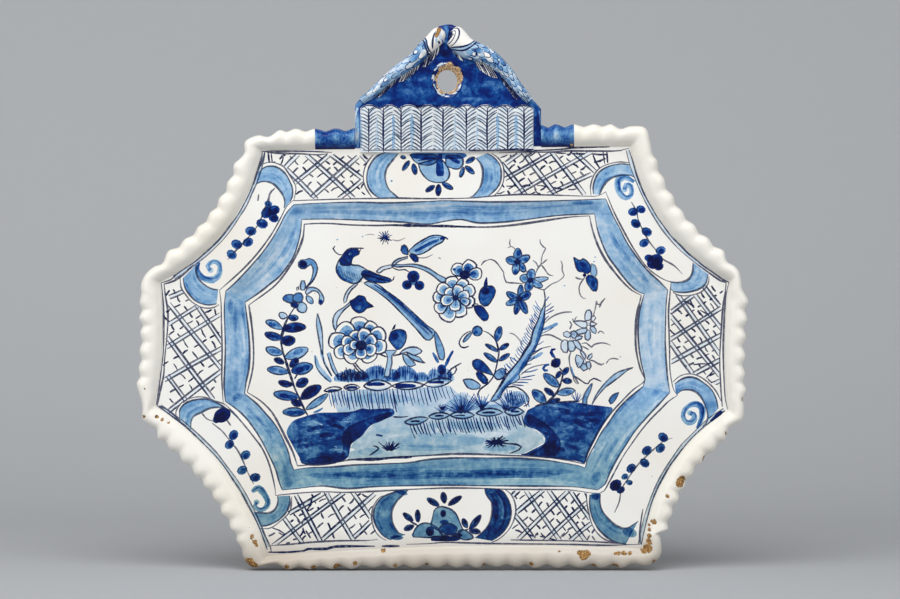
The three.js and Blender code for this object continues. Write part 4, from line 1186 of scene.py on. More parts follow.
for k in range(9):
    x, z = -56.6 + k * 1.35, 40.4 - k * 0.35
    line((x, z + 2.6 - abs(k - 4) * 0.2, x + 0.5, z, x + 1.6, z - 2.2), 0.35, 0.42)
stroke((-57.2, 42.5, -56.6, 39.6, -54, 37.3, -50.5, 36), 1, 1.5)
wash((-44, 41.5, -41.5, 42, -37, 40, -33, 38.5, -29, 37.2, -29, 36, -33, 35.3, -37, 35.6, -41, 36.5, -44,
      38.5, -44.8, 40),
     3.2, 0.9)
stroke((-44, 39.5, -39, 38.6, -34, 37, -29.5, 36.5), 1.3, 2)
stroke((-43, 41, -39, 40.3, -35, 38.7), 0.8, 1.6)
line((-29, 36.2, -27.8, 37, -27.3, 38.8))
line((-48, 34.8, -45.5, 36, -44, 37.8))
wash((-54.5, 50, -52, 52.8, -49, 53.4, -46.5, 52.8, -45.8, 50.5, -48.7, 49, -49.8, 46.8, -50, 44.8, -52.5,
      44.5, -55.3, 45, -56, 47.5, -54.8, 49),
     4.1, 0.9)
blob(-50.6, 50.6, 0.9, 0.8, -2.6)
blob(-50.4, 50.6, 0.35, 0.35, 4)
line((-51.5, 53.2, -49, 53.3, -46, 53.5, -43.3, 53.5), 0.7, 0.95)
line((-45, 53, -46.5, 49.8), 0.6, 0.9)
line((-54.5, 50, -56.5, 50.2, -58.3, 51.5, -59.5, 53.3, -58.5, 54.8))
fan(-32.3, 59.2, 0, 337, 2.6, 4.2, 16, 0.6, 4)
blob(-32.3, 59.2, 1.5, 0.9, 4)
line((-37.5, 60.5, -40, 60.9, -42.5, 60.4), 0.4, 0.5)
line((-28.5, 58, -25, 57.5, -21.5, 59), 0.4, 0.5)
print("strokes after the bird:", len(drawing))

# %% Long bud and the three-lobed flower on the branch
wash((-19.6, 52.2, -16, 55.5, -12, 58, -8, 60, -4.5, 60.4, -1.5, 59.8, -0.2, 59.3, -0.7, 58.5, -2, 56.8,
      -6, 54.8, -10, 52, -14, 50.2, -18, 50.2),
     1.2, 0.9)
wash((-16, 51.4, -9, 54.8, -3.5, 57.6, -3.8, 58.6, -9, 56.8, -14, 54, -17, 52.4), 1.9)
stroke((-13.5, 55.8, -8, 58.8, -3.5, 59.4), 0.8, 1.2)
blob(-1.8, 58.9, 1.6, 0.9, 3, 20)
line((-0.3, 59.3, 1, 58.2))
wash((-20, 50, -22.8, 50.8, -23.8, 52.5, -23.3, 54.7, -22, 55.3, -20.3, 53.5), 3, 0.85)
wash((-19.3, 49.8, -18, 48, -16.3, 46.3, -14.8, 46.6, -14.8, 48.5, -16.2, 50, -18, 50.7), 5, 0.9)
line((-15, 48.6, -11.5, 48.4, -9, 49.2, -7, 50.2), 0.45, 0.7)
line((-4, 48.6, -2.7, 48), 0.5, 0.5)
for x, z, radius in ((-17.2, 38.6, 3.4), (-20.6, 34.2, 2.7), (-14, 33.9, 2.7)):
    wash(oval(x, z, radius, radius * 0.96), 3.6)
    blob(x + 0.4, z - 0.3, radius * 0.6, radius * 0.5, 2)
blob(-17.3, 35.4, 2.2, 1.4, 2)


# %% Peonies
PETAL = ((-1.25, 0.35), (-0.5, 0.9), (0.25, 1.05), (0.82, 0.74), (1.0, 0.04), (0.8, -0.7), (0.25, -1.02),
         (-0.5, -0.9), (-1.25, -0.35))


def petal(x, z, rx, rz, cobalt, heart):
    """An opaque petal that opens away from the heart. The wash leaves its outer edge white."""
    way = np.array((x, z)) - heart
    way = way / (np.hypot(*way) + 1e-9) * (rx + rz) / 2 * hand.uniform(1.05, 1.2)
    side = np.array((-way[1], way[0])) * hand.uniform(0.92, 1.06)

    def part(share, back):
        flat = []
        for along, across in PETAL:
            aside = side * across * share * hand.uniform(0.9, 1.08)
            flat += list(np.array((x, z)) + way * (along * share - back) + aside)
        return flat

    wash(part(1, 0), 0, 0.9, width=0.55, clears=True)
    wash(part(0.74, 0.22), cobalt * 0.8)
    wash(part(0.45, 0.42), cobalt * 0.6)
    stroke((*(np.array((x, z)) - way * 0.7), *(np.array((x, z)) + way * 0.1 + side * 0.1)), 0.6,
           cobalt * 0.7)


LEFT_PEONY = (
    # outer petals, then inner ones
    (-45.6, 12.6, 4.2, 4, 1.7), (-53, 9.8, 4.2, 4, 1.7), (-39.7, 11.4, 3.1, 3.3, 1.8),
    (-57.2, 4.6, 3.9, 4, 1.6), (-55.2, -1, 3.6, 3.8, 1.7), (-49.8, -2.7, 3.7, 3.7, 1.8),
    (-41, -2.6, 4, 3.8, 1.7), (-36, 7.4, 3.7, 3.6, 1.8), (-35.2, 1.6, 3.4, 3.4, 1.7),
    (-47.8, 7.3, 2.7, 3, 1.9), (-43, 7.9, 2.9, 3, 1.9), (-39.6, 5, 2.6, 2.7, 2),
    (-52, 4.4, 2.9, 2.8, 1.8), (-39.8, -0.2, 2.5, 2.6, 1.9), (-45, -2, 2.7, 2.5, 2),
    (-51.4, 0.2, 2.7, 2.6, 1.9), (-48.3, 2.6, 2.2, 2.4, 2.2),
)
for row in LEFT_PEONY:
    petal(*row, heart=(-44.8, 2.2))
blob(-44.8, 2.2, 3.1, 2.7, 6)
fan(-44.8, 2.2, 0, 330, 2.6, 3.8, 9, 0.6, 3)
RIGHT_PEONY = (
    (3.3, 34.9, 3.2, 3.2, 1.3), (8.7, 34.3, 3, 3, 1.3), (12.2, 31.2, 2.9, 3, 1.2),
    (11.9, 25.2, 2.7, 2.9, 1.3), (7.2, 20.8, 3.2, 3.5, 1.2), (1, 19, 3.5, 3.6, 1.2),
    (-2.9, 22.4, 3.1, 3.2, 1.3), (-3.8, 27.9, 2.8, 2.8, 1.2), (-1.6, 32, 3.1, 3, 1.3),
    (2.2, 30, 2.6, 2.6, 1.3), (6.2, 31.5, 2.2, 2.8, 1.4), (9.5, 28.5, 2.6, 2.5, 1.3),
    (10.3, 25.3, 2.1, 2.2, 1.3), (4.8, 23.3, 2.6, 2.5, 1.3), (0.2, 26, 2.9, 2.9, 1.2),
)
for row in RIGHT_PEONY:
    petal(*row, heart=(5, 27.3))
blob(5, 27.3, 1.8, 1.5, 5)
fan(5, 27.3, 0, 330, 2, 3.2, 8, 0.6, 2.6)
petal(6.2, 42.3, 3.2, 2.6, 1.8, heart=(9.9, 39.5))
petal(12.3, 43.6, 3.2, 2.9, 2.4, heart=(9.9, 39.5))
petal(15.8, 39.9, 3, 2.9, 2.6, heart=(9.9, 39.5))
blob(9.9, 39.5, 2.9, 2.4, 6)
blob(4.3, 42.4, 1, 0.8, 3)
print("strokes after the peonies:", len(drawing))

# %% Buds and the ball sprig
wash((18, 24.8, 17.3, 27.5, 18.2, 31, 20, 33.2, 22, 33.5, 24.5, 33.5, 26, 31.5, 25.6, 29, 24, 26, 22, 23.5,
      20.3, 23), 2.8, 0.9)
blob(20.8, 31, 2.4, 2, 3)
wash((20, 33, 20, 35.5, 21.5, 38.6, 21.9, 36, 21.9, 33.2), 4.5)
line((17, 24, 15, 24.3, 13.5, 23.2))
wash((14.8, 23, 18.5, 23.2, 21, 20.5, 22.5, 17.8, 21.5, 15.5, 20, 15.2, 18, 17, 16, 19.5, 15, 22), 3.8, 0.9)
line((21.7, 47.2, 23.5, 47.7, 25.5, 47, 27.5, 45, 29, 42.8, 30.3, 41, 30.6, 38.5, 31.8, 35.6, 33.5, 35.3,
      36, 35.2, 41, 34.8),
     0.5, 0.8)
line((18.5, 44.5, 20, 46.5, 21.7, 47.2), 0.5, 0.8)
wash((-30, 6.5, -29, 9.3, -27, 10.3, -24, 10.6, -21.5, 9.5, -20.9, 7.5, -21.5, 4, -23.5, 1, -26, 0, -28.5,
      3, -30, 5),
     3.2, 0.9)
blob(-27, 7, 2, 2, 2)
wash((-28.8, 10, -27.5, 12.8, -26.5, 13.7, -27, 11), 5)
wash(oval(16.5, 9.8, 2.6, 2.6), 2.8, 0.9)
blob(15.8, 9, 1.2, 1.2, 2)
line((13.7, 10, 11, 9, 8.5, 7, 7.1, 4.5, 6.9, 3.2, 7.8, 1.5, 9.5, 1, 12, 1.8), 0.6, 0.9)
line((19.2, 10, 22, 9, 24.5, 7, 26.3, 5, 26.9, 3, 27.8, -0.5, 27.7, -3.5, 26.8, -8, 25.8, -12, 24.5, -15,
      22, -18, 18.8, -20.3, 17.2, -22.3, 16.6, -25),
     0.6, 0.9)
for x0, z0, x1, z1, width, strength in (
        (26.5, 4.5, 28.7, 12.2, 3.8, 3), (27.5, -1, 20.8, 2.8, 2, 2.5), (28.2, 0, 33, 3, 2.4, 4.5),
        (27, -6.5, 20, -1.8, 2.6, 2.5), (28, -5.8, 33.5, -2.3, 2.2, 3.5), (13.5, 9, 9, 4, 1.8, 1.6)):
    leaf(x0, z0, x1, z1, width, strength)
for flat, strength in (
        ((25, -13.7, 21, -12.3, 16.5, -11, 14.3, -8.5, 14.2, -6, 16.3, -5, 19, -6, 21.5, -8.5, 23.5,
          -11.3),
         3.6),
        ((19.8, -18, 17, -15.2, 15.9, -12.5, 16.8, -11.2, 19.5, -13, 21.9, -16, 21.5, -17.8), 4),
        ((25.3, -13.8, 26.5, -11.5, 29.5, -9.8, 31.5, -10.5, 31.6, -12.5, 30, -15, 27, -15.8), 1.7),
        ((9, -16, 12.5, -15.5, 15.8, -16.8, 18.2, -19, 17.5, -20.5, 14, -21, 11.5, -20, 10, -18), 1.2)):
    wash(flat, strength, 0.9)
print("strokes after the buds:", len(drawing))

# %% The leaning tree
TRUNK = (
    51.5, 32, 52.3, 28, 51.8, 24, 50, 20, 48.3, 15, 46, 10, 44.5, 4, 42, 0, 39, -5, 35, -10, 32, -13.5,
    28, -20, 23.5, -27, 28, -26, 30, -22, 33, -18.5, 36, -17.5, 39, -15, 38.5, -13, 39.3, -11, 42, -8, 44,
    -4, 46.5, -0.5, 48.5, 4, 50.5, 10, 51.8, 15, 52, 20, 52.3, 25)
wash(TRUNK, 1.1, 0.8)
stroke((52, 20, 50.5, 12, 47.3, 2, 43.3, -4.5, 39.5, -10.5, 36, -14.5, 31, -20, 27, -25.5), 2, 1.3)
line((50, 20, 48.3, 15, 46, 10, 44.5, 4, 42, 0, 39, -5, 35, -10, 32, -13.5, 28, -20, 23.5, -27), 0.8, 0.9)
for x0, z0, x1, z1, width, strength in (
        (50, 20.5, 46, 23.5, 0.7, 1.6), (48.5, 16.5, 46.3, 19, 0.7, 1.6), (47.3, 13.3, 44.3, 16, 0.7, 1.5),
        (46.5, 10, 44.4, 12, 0.7, 1.6), (45, 6, 41.5, 9, 0.6, 1.4), (43.5, 2.5, 40, 5, 0.6, 1.5),
        (41, -2, 37.2, 0.5, 0.7, 1.5), (38, -6.5, 34, -4, 0.7, 1.5), (35, -10, 31, -7.6, 0.6, 1.4),
        (32, -13.5, 28.6, -11, 0.6, 1.4), (52, 25, 54.3, 28, 0.6, 3), (52, 22, 55.5, 24.5, 0.6, 3),
        (52, 20, 56.8, 23, 0.6, 3), (51.8, 18.3, 57, 21, 0.6, 3), (51.8, 15, 54.2, 17.9, 0.6, 3),
        (50.8, 10.5, 59, 13.8, 2, 1.6), (50.5, 8.5, 57, 12, 0.6, 3), (43.5, -5, 51, -1.5, 1.5, 1.4),
        (41.5, -9, 45, -7.5, 0.6, 3), (40, -12, 48.5, -10.3, 0.6, 3), (39.5, -15, 47, -13.5, 0.6, 3),
        (38, -16, 45.5, -15.8, 0.6, 3), (36.5, -17.5, 43.5, -17.5, 0.6, 3), (35, -18.5, 41, -19, 0.6, 3),
        (47, 2, 51.5, 4.6, 0.6, 2.6), (45.5, -1.2, 50.5, 1, 0.6, 2.6)):
    bend = hand.uniform(-0.5, 0.5)
    stroke((x0, z0, (x0 + x1) / 2 + bend, (z0 + z1) / 2 - bend, x1, z1), width, strength)
for k in range(30):
    # Fine hairs on the upper side of the trunk.
    f = k / 29
    x, z = (
        np.interp(f, (0, 0.35, 0.7, 1), (50.4, 46.2, 40.5, 31)),
        np.interp(f, (0, 0.35, 0.7, 1), (21, 9.5, -3, -14.5)))
    reach = hand.uniform(3, 5.2) * (1 - 0.25 * f)
    stroke((x, z, x - reach * 0.45, z + reach * 0.5, x - reach * 0.7, z + reach), 0.55, 2.6, step=2.2,
           ends=0.2)
for flat in (
        (33.5, 8.8, 36, 8, 38.5, 5.5, 40.2, 2.5),
        (51.5, 13.5, 54, 16, 57, 18, 60, 19.2, 63, 19.8, 66.5, 19.9),
        (49.5, 6.8, 52, 7.8, 55, 7.8, 58, 6.5, 63.5, 3.5), (44.5, -3.5, 48, -1, 51, 0.8, 55.5, 1.8),
        (42, -6.8, 45, -5.5, 47, -3.8), (39.3, -13.5, 43, -10.5, 47, -8.8, 52, -7.8),
        (47.5, 40.5, 48.3, 42.8, 50, 44.8, 50.3, 47.5, 51, 50.5, 52.5, 53.5, 51.3, 54.3, 49.8, 56, 49.4,
         58.2),
        (50.3, 44.7, 52, 42.5, 53.7, 40, 55, 39.2, 56.5, 39.1),
        (50, 45, 48.5, 43.8, 47.5, 45.8, 45.8, 47.2), (50.5, 45.2, 53.2, 47.6),
        (48, 32.5, 51.8, 31.5, 53.5, 33, 56, 34.8, 59, 36, 61.8, 38.2, 62.3, 39.3, 61.2, 42, 61.3, 45,
         60.5, 47),
        (36.6, 52.8, 35.5, 54, 34.3, 54.5, 32.5, 53.7), (34, 54.6, 33.5, 56, 33.8, 58.3),
        (44.5, 32.5, 43.5, 31, 44, 30), (42, 42, 42.8, 41)):
    line(flat, 0.5, 0.75)
for x, z in ((62.5, 33.8), (78, 46.5), (78.6, 48.8), (-44, 59.7), (-57.3, 58.1), (92, -3.8)):
    blob(x, z, 0.5, 0.4, 1.6)
BLOSSOMS = (
    # heart x, z, then the petals: tip x, z, width, strength
    (37.6, 46.2,
     ((37.9, 53.6, 4.4, 2.8), (44, 49.4, 4, 2.7), (41.6, 41.2, 3.6, 3.2), (36.2, 39.6, 4, 3),
      (31.6, 47.7, 4.4, 2.6))),
    (44.4, 36.6,
     ((39, 38.3, 4.6, 2.4), (45.6, 42.5, 4.6, 2.5), (54, 37.8, 2.8, 1.3), (50.8, 33.2, 3.6, 2.4),
      (42.6, 30.8, 4.4, 2.6))),
    (38.8, 26.8,
     ((32, 30.2, 3.6, 3.2), (31.6, 23.8, 3.4, 3), (39.6, 34.2, 3, 3.2), (44.6, 30, 4.4, 3.2),
      (36.6, 18.6, 3.2, 3.2), (42.6, 19, 3.6, 3.2))),
)
for x, z, petals in BLOSSOMS:
    for tip_x, tip_z, width, strength in petals:
        leaf(x, z, tip_x, tip_z, width, strength * 0.9, hand.uniform(-0.3, 0.3))
        stroke((x, z, (x * 2 + tip_x) / 3, (z * 2 + tip_z) / 3), 1.2, strength * 0.5)
    blob(x, z, 1.7, 1.4, 4.6)
print("strokes after the tree:", len(drawing))

# %% Butterfly and the blossoms drawn only in line
wash((67.3, 48.8, 70.5, 47, 72.3, 48, 75, 46, 76.3, 43.5, 76, 41, 74.5, 40, 72, 41, 70, 41.2, 68.5, 43.5),
     3.2, 0.8)
wash((76.5, 45.5, 78.5, 44.5, 79.5, 41.5, 79, 39, 76.5, 38.5), 1, 0.5)
wash((73.8, 38, 75, 39.5, 77, 39, 79, 37.8, 79.9, 35.5, 79.3, 31, 77.5, 31, 75.8, 33, 74.3, 35.5), 3.2, 0.8)
blob(73, 39.3, 1, 1, 5)
blob(72, 45, 2, 1.2, 1.5, -30)
blob(77.5, 34.5, 1.2, 2, 1.5)
LINE_BLOSSOMS = (
    (73.2, 38.2, 71.5, 36, 70.3, 33.5, 70.3, 30.5, 71.2, 28.2, 72.5, 27, 73.8, 27.2),
    (71.8, 37.3, 70.3, 37.3, 69, 37.8, 68.2, 38.3),
    (77.2, 15.5, 78, 19, 79, 23, 79.3, 25.8, 79.8, 24, 81.2, 23.8, 82.3, 25.3, 84, 27.3),
    (81.8, 24, 80.8, 22.3), (67.3, 14.3, 66.8, 16.5), (67.5, 14.8, 68.8, 17.5), (66.5, 13, 65.2, 15),
    (65.3, 10.8, 66.2, 13), (80, 8.6, 81.3, 9.8, 82.3, 9.5, 83.5, 8.5),
    (71.5, 3.2, 74, 3.5, 76.8, 1.3, 78, 2.6, 81, 3.5, 84, 3.4, 86.8, 2.3), (72, 1.8, 75.3, 0),
    (66, -1, 65, -4, 65.3, -8, 66.2, -12, 67, -14, 67.5, -16, 69, -18.2),
    (75.5, -5.5, 78, -6, 80, -7.3, 82, -8, 83.5, -7.3), (84.5, -7.5, 86, -5.3, 88.5, -4.6, 91, -5.2),
    (71, 1.5, 72, -1.5, 73.3, -4.5), (67.2, -13, 69.3, -17, 70, -18.2),
)
for flat in LINE_BLOSSOMS:
    line(flat, 0.55, 0.75)
for flat, strength in (
        ((73.4, 15.3, 73.2, 18, 74.3, 20.7, 75.8, 21, 76.8, 18.8, 76.2, 15.8), 0.55),
        ((76.4, 15.2, 76.8, 17.2, 78.3, 17.9, 79, 16.6, 77.8, 15.1), 0.3),
        ((76, 14.7, 78, 14.4, 79.5, 13.6, 78.3, 12.7, 76.2, 12.6), 0.3),
        ((76.3, 12.2, 78, 12.2, 79.4, 10, 78.9, 8.4, 77.2, 9.2, 75.9, 11.2), 0.8),
        ((74.2, 14.7, 70.8, 15.2, 67.6, 14.8, 69.2, 13, 71.8, 11.6, 74.3, 11.9), 0.3),
        ((74.4, 11.3, 71, 11, 68.2, 9.6, 67.3, 7.9, 70.5, 8.2, 74.2, 9.2), 0.55),
        ((74.6, 10.6, 73.3, 8, 73.6, 5.6, 74.9, 4.8, 76.1, 6, 75.9, 10), 0.6),
        ((66, 7.2, 65.9, 9.4, 67.6, 10, 69.3, 8.6, 68, 5.8), 0.8),
        ((64.8, 6.2, 62.2, 7.2, 61.8, 8.8, 63.8, 9.8, 65.8, 8), 0.5),
        ((68.2, 6.5, 70.3, 7.5, 72, 6.9, 71.3, 5.7, 68.3, 5), 0.7),
        ((64, 5, 62.3, 5.2, 60.8, 3.8, 60.7, 0.6, 62, -1.3, 63.8, -1.5, 64.4, 1.2), 0.35),
        ((64.6, 4.6, 64.4, 1.5, 65.3, -0.9, 67.2, -0.8, 68.4, 1.8, 66.8, 4.6), 0.6),
        ((67, 4.9, 69.4, 4.6, 71.2, 2, 71.7, -0.4, 69.6, 0.4, 67.9, 2.3), 0.6),
        ((72.7, -5.6, 70.6, -3.3, 68.9, -2.7, 68.2, -4.6, 68.8, -7.5, 70, -9.6, 71.6, -8.4), 0.6),
        ((72.3, -7.4, 70.9, -9.6, 72.6, -11.2, 74.5, -10.3, 73.8, -7.6), 0.8),
        ((74, -6.6, 75.8, -6.4, 76.5, -8.8, 75.7, -10.6, 74.4, -9.2), 0.7),
        ((73.2, -5.2, 71.5, -2.7, 70.6, -0.2, 72.4, -1.2, 73.9, -3.6), 0.5),
        ((74.4, -4.9, 75.4, -3, 77, -1.9, 77.1, -3.8, 75.6, -5.2), 0.6)):
    wash(flat, strength, 0.82, width=0.5, clears=True)
for x, z, radius in (
        (75.2, 13.2, 1.1), (66.2, 5.8, 1.3), (73.3, -6.3, 1.2), (67.2, 8.3, 0.8), (69.5, -7.4, 0.7)):
    fan(x, z, 0, 330, 0.4, radius * 1.3, 7, 0.5, 2.6)
stroke((66, -9, 66.8, -12, 68, -15), 1.3, 1.6)
print("strokes after the line blossoms:", len(drawing))

# %% The sprig and the blades on the right
stroke((57.8, 0.3, 56, 0, 55.5, -1.5, 56.3, -3, 57.5, -4.3), 1.8, 3.5)
wash((55.5, -8.5, 56, -5.8, 57.8, -4.6, 60, -5, 60.2, -7.5, 59.5, -9, 57.5, -9.5), 5.2, 0.8)
stroke((54.5, -7.8, 52.3, -8.3, 51.3, -10, 52, -11, 53.8, -11), 2, 3.5)
line((59.8, -9.5, 61, -11, 61.6, -13.5, 61, -16, 60.2, -19, 58.8, -22, 57, -24.5, 54.5, -27, 52.5, -28.5),
     0.8, 0.95)
for x0, z0, x1, z1, width, strength in (
        (60.5, -11.5, 58.2, -15, 2.2, 4.6), (61.5, -13.3, 64.6, -9.6, 2.6, 4.6),
        (59.5, -19.5, 51.5, -12.8, 4.6, 2.6), (61.5, -16.3, 66.3, -16.8, 2.8, 4.5),
        (57, -24, 52, -20.5, 2.8, 4.6), (58.8, -23.2, 67.8, -21.5, 4, 2),
        (52.5, -28, 45.7, -21.5, 5.2, 2.8), (54.5, -28.3, 60, -26.2, 2.4, 5)):
    leaf(x0, z0, x1, z1, width, strength)
line((68, -14, 70.5, -15.8, 73.5, -17.8, 75, -18, 76, -16.3, 78, -15.2, 82, -16.8))
wash((72, -29, 72.5, -25, 74.5, -21, 77.2, -17.7, 76.2, -22, 74.5, -26, 74, -30), 1.9, 0.7)
wash((77, -29, 79, -24.5, 82, -20, 86, -15.5, 91, -11.8, 98.8, -9.5, 96, -10.8, 92, -14, 88, -17, 84, -20,
      80.5, -24),
     1, 0.8)
wash((91.3, -22.5, 88, -24, 86, -27, 87, -28.7, 89, -27, 90.5, -24.5), 2.4, 0.8)
fan(69, -28, 40, 130, 4, 7, 7, 0.5, 3)
slab_drawing = drawing
print("strokes on the slab:", len(slab_drawing))

# %% [markdown]
# ## From strokes to a painted surface
# The triangulation takes the sheet's edge, the rings of the moulding and every stroke at once. Each
# triangle comes back with the shapes that cover it. They are then laid on in their order: washes
# add up, the trek stays as dark as its darkest line, and a clearing shape starts again from white.

# %% Cutting the sheet along the strokes
EDGE = -1
HOLE = -2


def cut_and_colour(edge, shapes, holes=(), guides=()):
    """Flat points, triangles, and the cobalt and the trek of each triangle."""
    points, faces, owners, guide_edges = [], [], [], []

    def add_face(numbers, owner):
        """The triangulation wants each face anticlockwise."""
        p = np.array([points[i] for i in numbers])
        after = np.roll(p, -1, axis=0)
        area = (p[:, 0] * after[:, 1] - after[:, 0] * p[:, 1]).sum()
        if abs(area) > 1e-3:
            faces.append(numbers if area > 0 else numbers[::-1])
            owners.append(owner)

    for ring, owner in [(edge, EDGE)] + [(hole, HOLE) for hole in holes]:
        points.extend(ring)
        add_face(list(range(len(points) - len(ring), len(points))), owner)
    for guide in guides:
        start = len(points)
        points.extend(guide)
        guide_edges += [(i, i + 1) for i in range(start, len(points) - 1)]
    for rank, (places, shape_faces, *_) in enumerate(shapes):
        start = len(points)
        points.extend(places)
        for face in shape_faces:
            add_face([start + i for i in face], rank)
    flat = [Vector((float(x), float(z))) for x, z in points]
    cut = delaunay_2d_cdt(flat, guide_edges, faces, 0, 1e-4, True)
    corners = np.array(cut[2])
    cut_points = np.array([p[:] for p in cut[0]])
    hearts = cut_points[corners].mean(axis=1)
    # An outline may cross itself, so which triangles lie in it is counted here, not read from the cut.
    order = np.argsort(hearts[:, 0])
    across = hearts[order, 0]
    layers = [set() for _ in corners]
    for face, owner in zip(faces, owners):
        ring = np.array([points[i] for i in face])
        low, high = ring.min(axis=0), ring.max(axis=0)
        near = order[np.searchsorted(across, low[0]):np.searchsorted(across, high[0])]
        near = near[(hearts[near, 1] > low[1]) & (hearts[near, 1] < high[1])]
        for i in near[inside(hearts[near], ring)]:
            layers[i].add(owner)
    kept, tones = [], []
    for triangle, ranks in zip(cut[2], layers):
        if EDGE not in ranks or HOLE in ranks:
            continue
        cobalt = trek = 0.0
        for rank in sorted(r for r in ranks if r >= 0):
            more_cobalt, more_trek, clears = shapes[rank][2:]
            if clears:
                cobalt = trek = 0.0
            cobalt += more_cobalt
            trek = max(trek, more_trek)
        kept.append(triangle)
        tones.append((max(0, cobalt), trek))
    used = sorted({i for corners in kept for i in corners})
    number = {old: new for new, old in enumerate(used)}
    places = np.array([cut[0][i] for i in used])
    triangles = np.array([[number[i] for i in corners] for corners in kept])
    return places, triangles, np.array(tones)


def sheet(name, places, depths, triangles, tones):
    """A painted sheet as a mesh: places and depths are in the drawing, tones are per triangle."""
    mesh = bpy.data.meshes.new(name)
    corners = [place(x, depth, z) for (x, z), depth in zip(places, depths)]
    a, b, c = (places[triangles[:, k]] for k in range(3))
    turn = (b[:, 0] - a[:, 0]) * (c[:, 1] - a[:, 1]) - (b[:, 1] - a[:, 1]) * (c[:, 0] - a[:, 0])
    order = np.where(turn[:, None] > 0, triangles, triangles[:, ::-1])
    mesh.from_pydata(corners, [], order.tolist())
    for k, attribute in enumerate(("cobalt", "trek")):
        values = mesh.attributes.new(attribute, "FLOAT", "CORNER")
        values.data.foreach_set("value", np.repeat(tones[:, k], 3).astype(np.float32))
    # How bare the clay is. It starts at 0: the glaze covers all of it.
    mesh.attributes.new("clay", "FLOAT", "CORNER")
    piece = bpy.data.objects.new(name, mesh)
    bpy.context.collection.objects.link(piece)
    return piece


def wear(piece, values):
    """Bares the clay of a sheet by a number for each of its points, where it is the larger one."""
    mesh = piece.data
    clay = mesh.attributes["clay"].data
    for corner in mesh.loops:
        clay[corner.index].value = max(clay[corner.index].value, values[corner.vertex_index])


def select_only(piece):
    bpy.ops.object.select_all(action="DESELECT")
    piece.select_set(True)
    bpy.context.view_layer.objects.active = piece


def ring_distance(places, ring):
    """How far each place is from the nearest point of a ring."""
    ring = np.array(ring)
    after = np.roll(ring, -1, axis=0)
    nearest = np.full(len(places), np.inf)
    for a, b in zip(ring, after):
        way = b - a
        t = np.clip(((places - a) @ way) / (way @ way), 0, 1)
        nearest = np.minimum(nearest, np.hypot(*(places - a - t[:, None] * way).T))
    return nearest


# %% The slab's painted front
MOULDING_LEVELS = 8


def between_rings(t):
    """The outline of the moulding at one stage of its hollow, from 0 outside to 1 inside."""
    return [tuple(np.array(a) * (1 - t) + np.array(b) * t)
            for a, b in zip(outline(moulding_sides), outline(panel_sides))]


levels = [between_rings(k / MOULDING_LEVELS) for k in range(MOULDING_LEVELS + 1)]
places, triangles, tones = cut_and_colour(
    field_edge, slab_drawing, guides=[level + level[:1] for level in levels])
to_outer = ring_distance(places, levels[0])
to_inner = ring_distance(places, levels[-1])
hollow = to_outer / (to_outer + to_inner + 1e-9)
hollow[~inside(places, levels[0])] = 0
hollow[inside(places, levels[-1])] = 1
depths = BORDER_DEPTH - (BORDER_DEPTH - PANEL_DEPTH) * np.sin(hollow * math.pi / 2)
painted_slab = sheet("painted_slab", places, depths, triangles, tones)
print("painted triangles:", len(triangles))

# %% [markdown]
# The sheet is only the front. As by hand, its open edge is extruded back to the wall, drawn in a
# little for the worn arris on the back, and filled, so the slab is one closed body.

# %% Slab sides and back
ARRIS = 1
SLAB_HALF_WIDTH = 150
SLAB_HALF_HEIGHT = 105
UV_STRIP = 0.04
UV_MARGIN = 0.002
BARE = 3


def close_back(piece, thickness, arris=0, smooth_under=40):
    """Extrudes the open edges of a sheet back to the wall plane and fills them there."""
    select_only(piece)
    bpy.ops.object.mode_set(mode="EDIT")
    bpy.ops.mesh.select_mode(type="EDGE")
    bpy.ops.mesh.select_all(action="DESELECT")
    bpy.ops.mesh.select_non_manifold()
    bpy.ops.mesh.extrude_edges_move(TRANSFORM_OT_translate={"value": (0, (thickness - arris) * MM, 0)})
    if arris:
        bpy.ops.mesh.extrude_edges_move(TRANSFORM_OT_translate={"value": (0, arris * MM, 0)})
        shrink = (1 - arris / SLAB_HALF_WIDTH, 1, 1 - arris / SLAB_HALF_HEIGHT)
        bpy.ops.transform.resize(value=shrink, center_override=place(0, 0, 0))
    bpy.ops.mesh.fill()
    bpy.ops.mesh.select_all(action="SELECT")
    bpy.ops.mesh.normals_make_consistent(inside=False)
    bpy.ops.object.mode_set(mode="OBJECT")
    bpy.ops.object.shade_smooth_by_angle(angle=math.radians(smooth_under))


def front_uv(piece, low, high):
    """A UV map seen from the front. Faces that point back share a narrow strip below it."""
    mesh = piece.data
    uv = mesh.uv_layers.new(name="OFBake")
    for face in mesh.polygons:
        is_front = face.normal.y < -0.15
        for corner in face.loop_indices:
            x, z = drawing_xz(mesh.vertices[mesh.loops[corner].vertex_index].co)
            u = (x - low[0]) / (high[0] - low[0])
            v = (z - low[1]) / (high[1] - low[1])
            v = UV_STRIP + v * (1 - UV_STRIP) if is_front else v * UV_STRIP * 0.9
            uv.data[corner].uv = (UV_MARGIN + (1 - 2 * UV_MARGIN) * u, UV_MARGIN + (1 - 2 * UV_MARGIN) * v)


close_back(painted_slab, BORDER_DEPTH, ARRIS)
back = painted_slab.data.attributes["clay"]
for face in painted_slab.data.polygons:
    if face.normal.y > 0.5:
        for corner in face.loop_indices:
            back.data[corner].value = BARE
front_uv(painted_slab, (-155, -110), (152, 109))
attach(painted_slab, "root")
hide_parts("slab")
print("slab faces:", len(painted_slab.data.polygons))

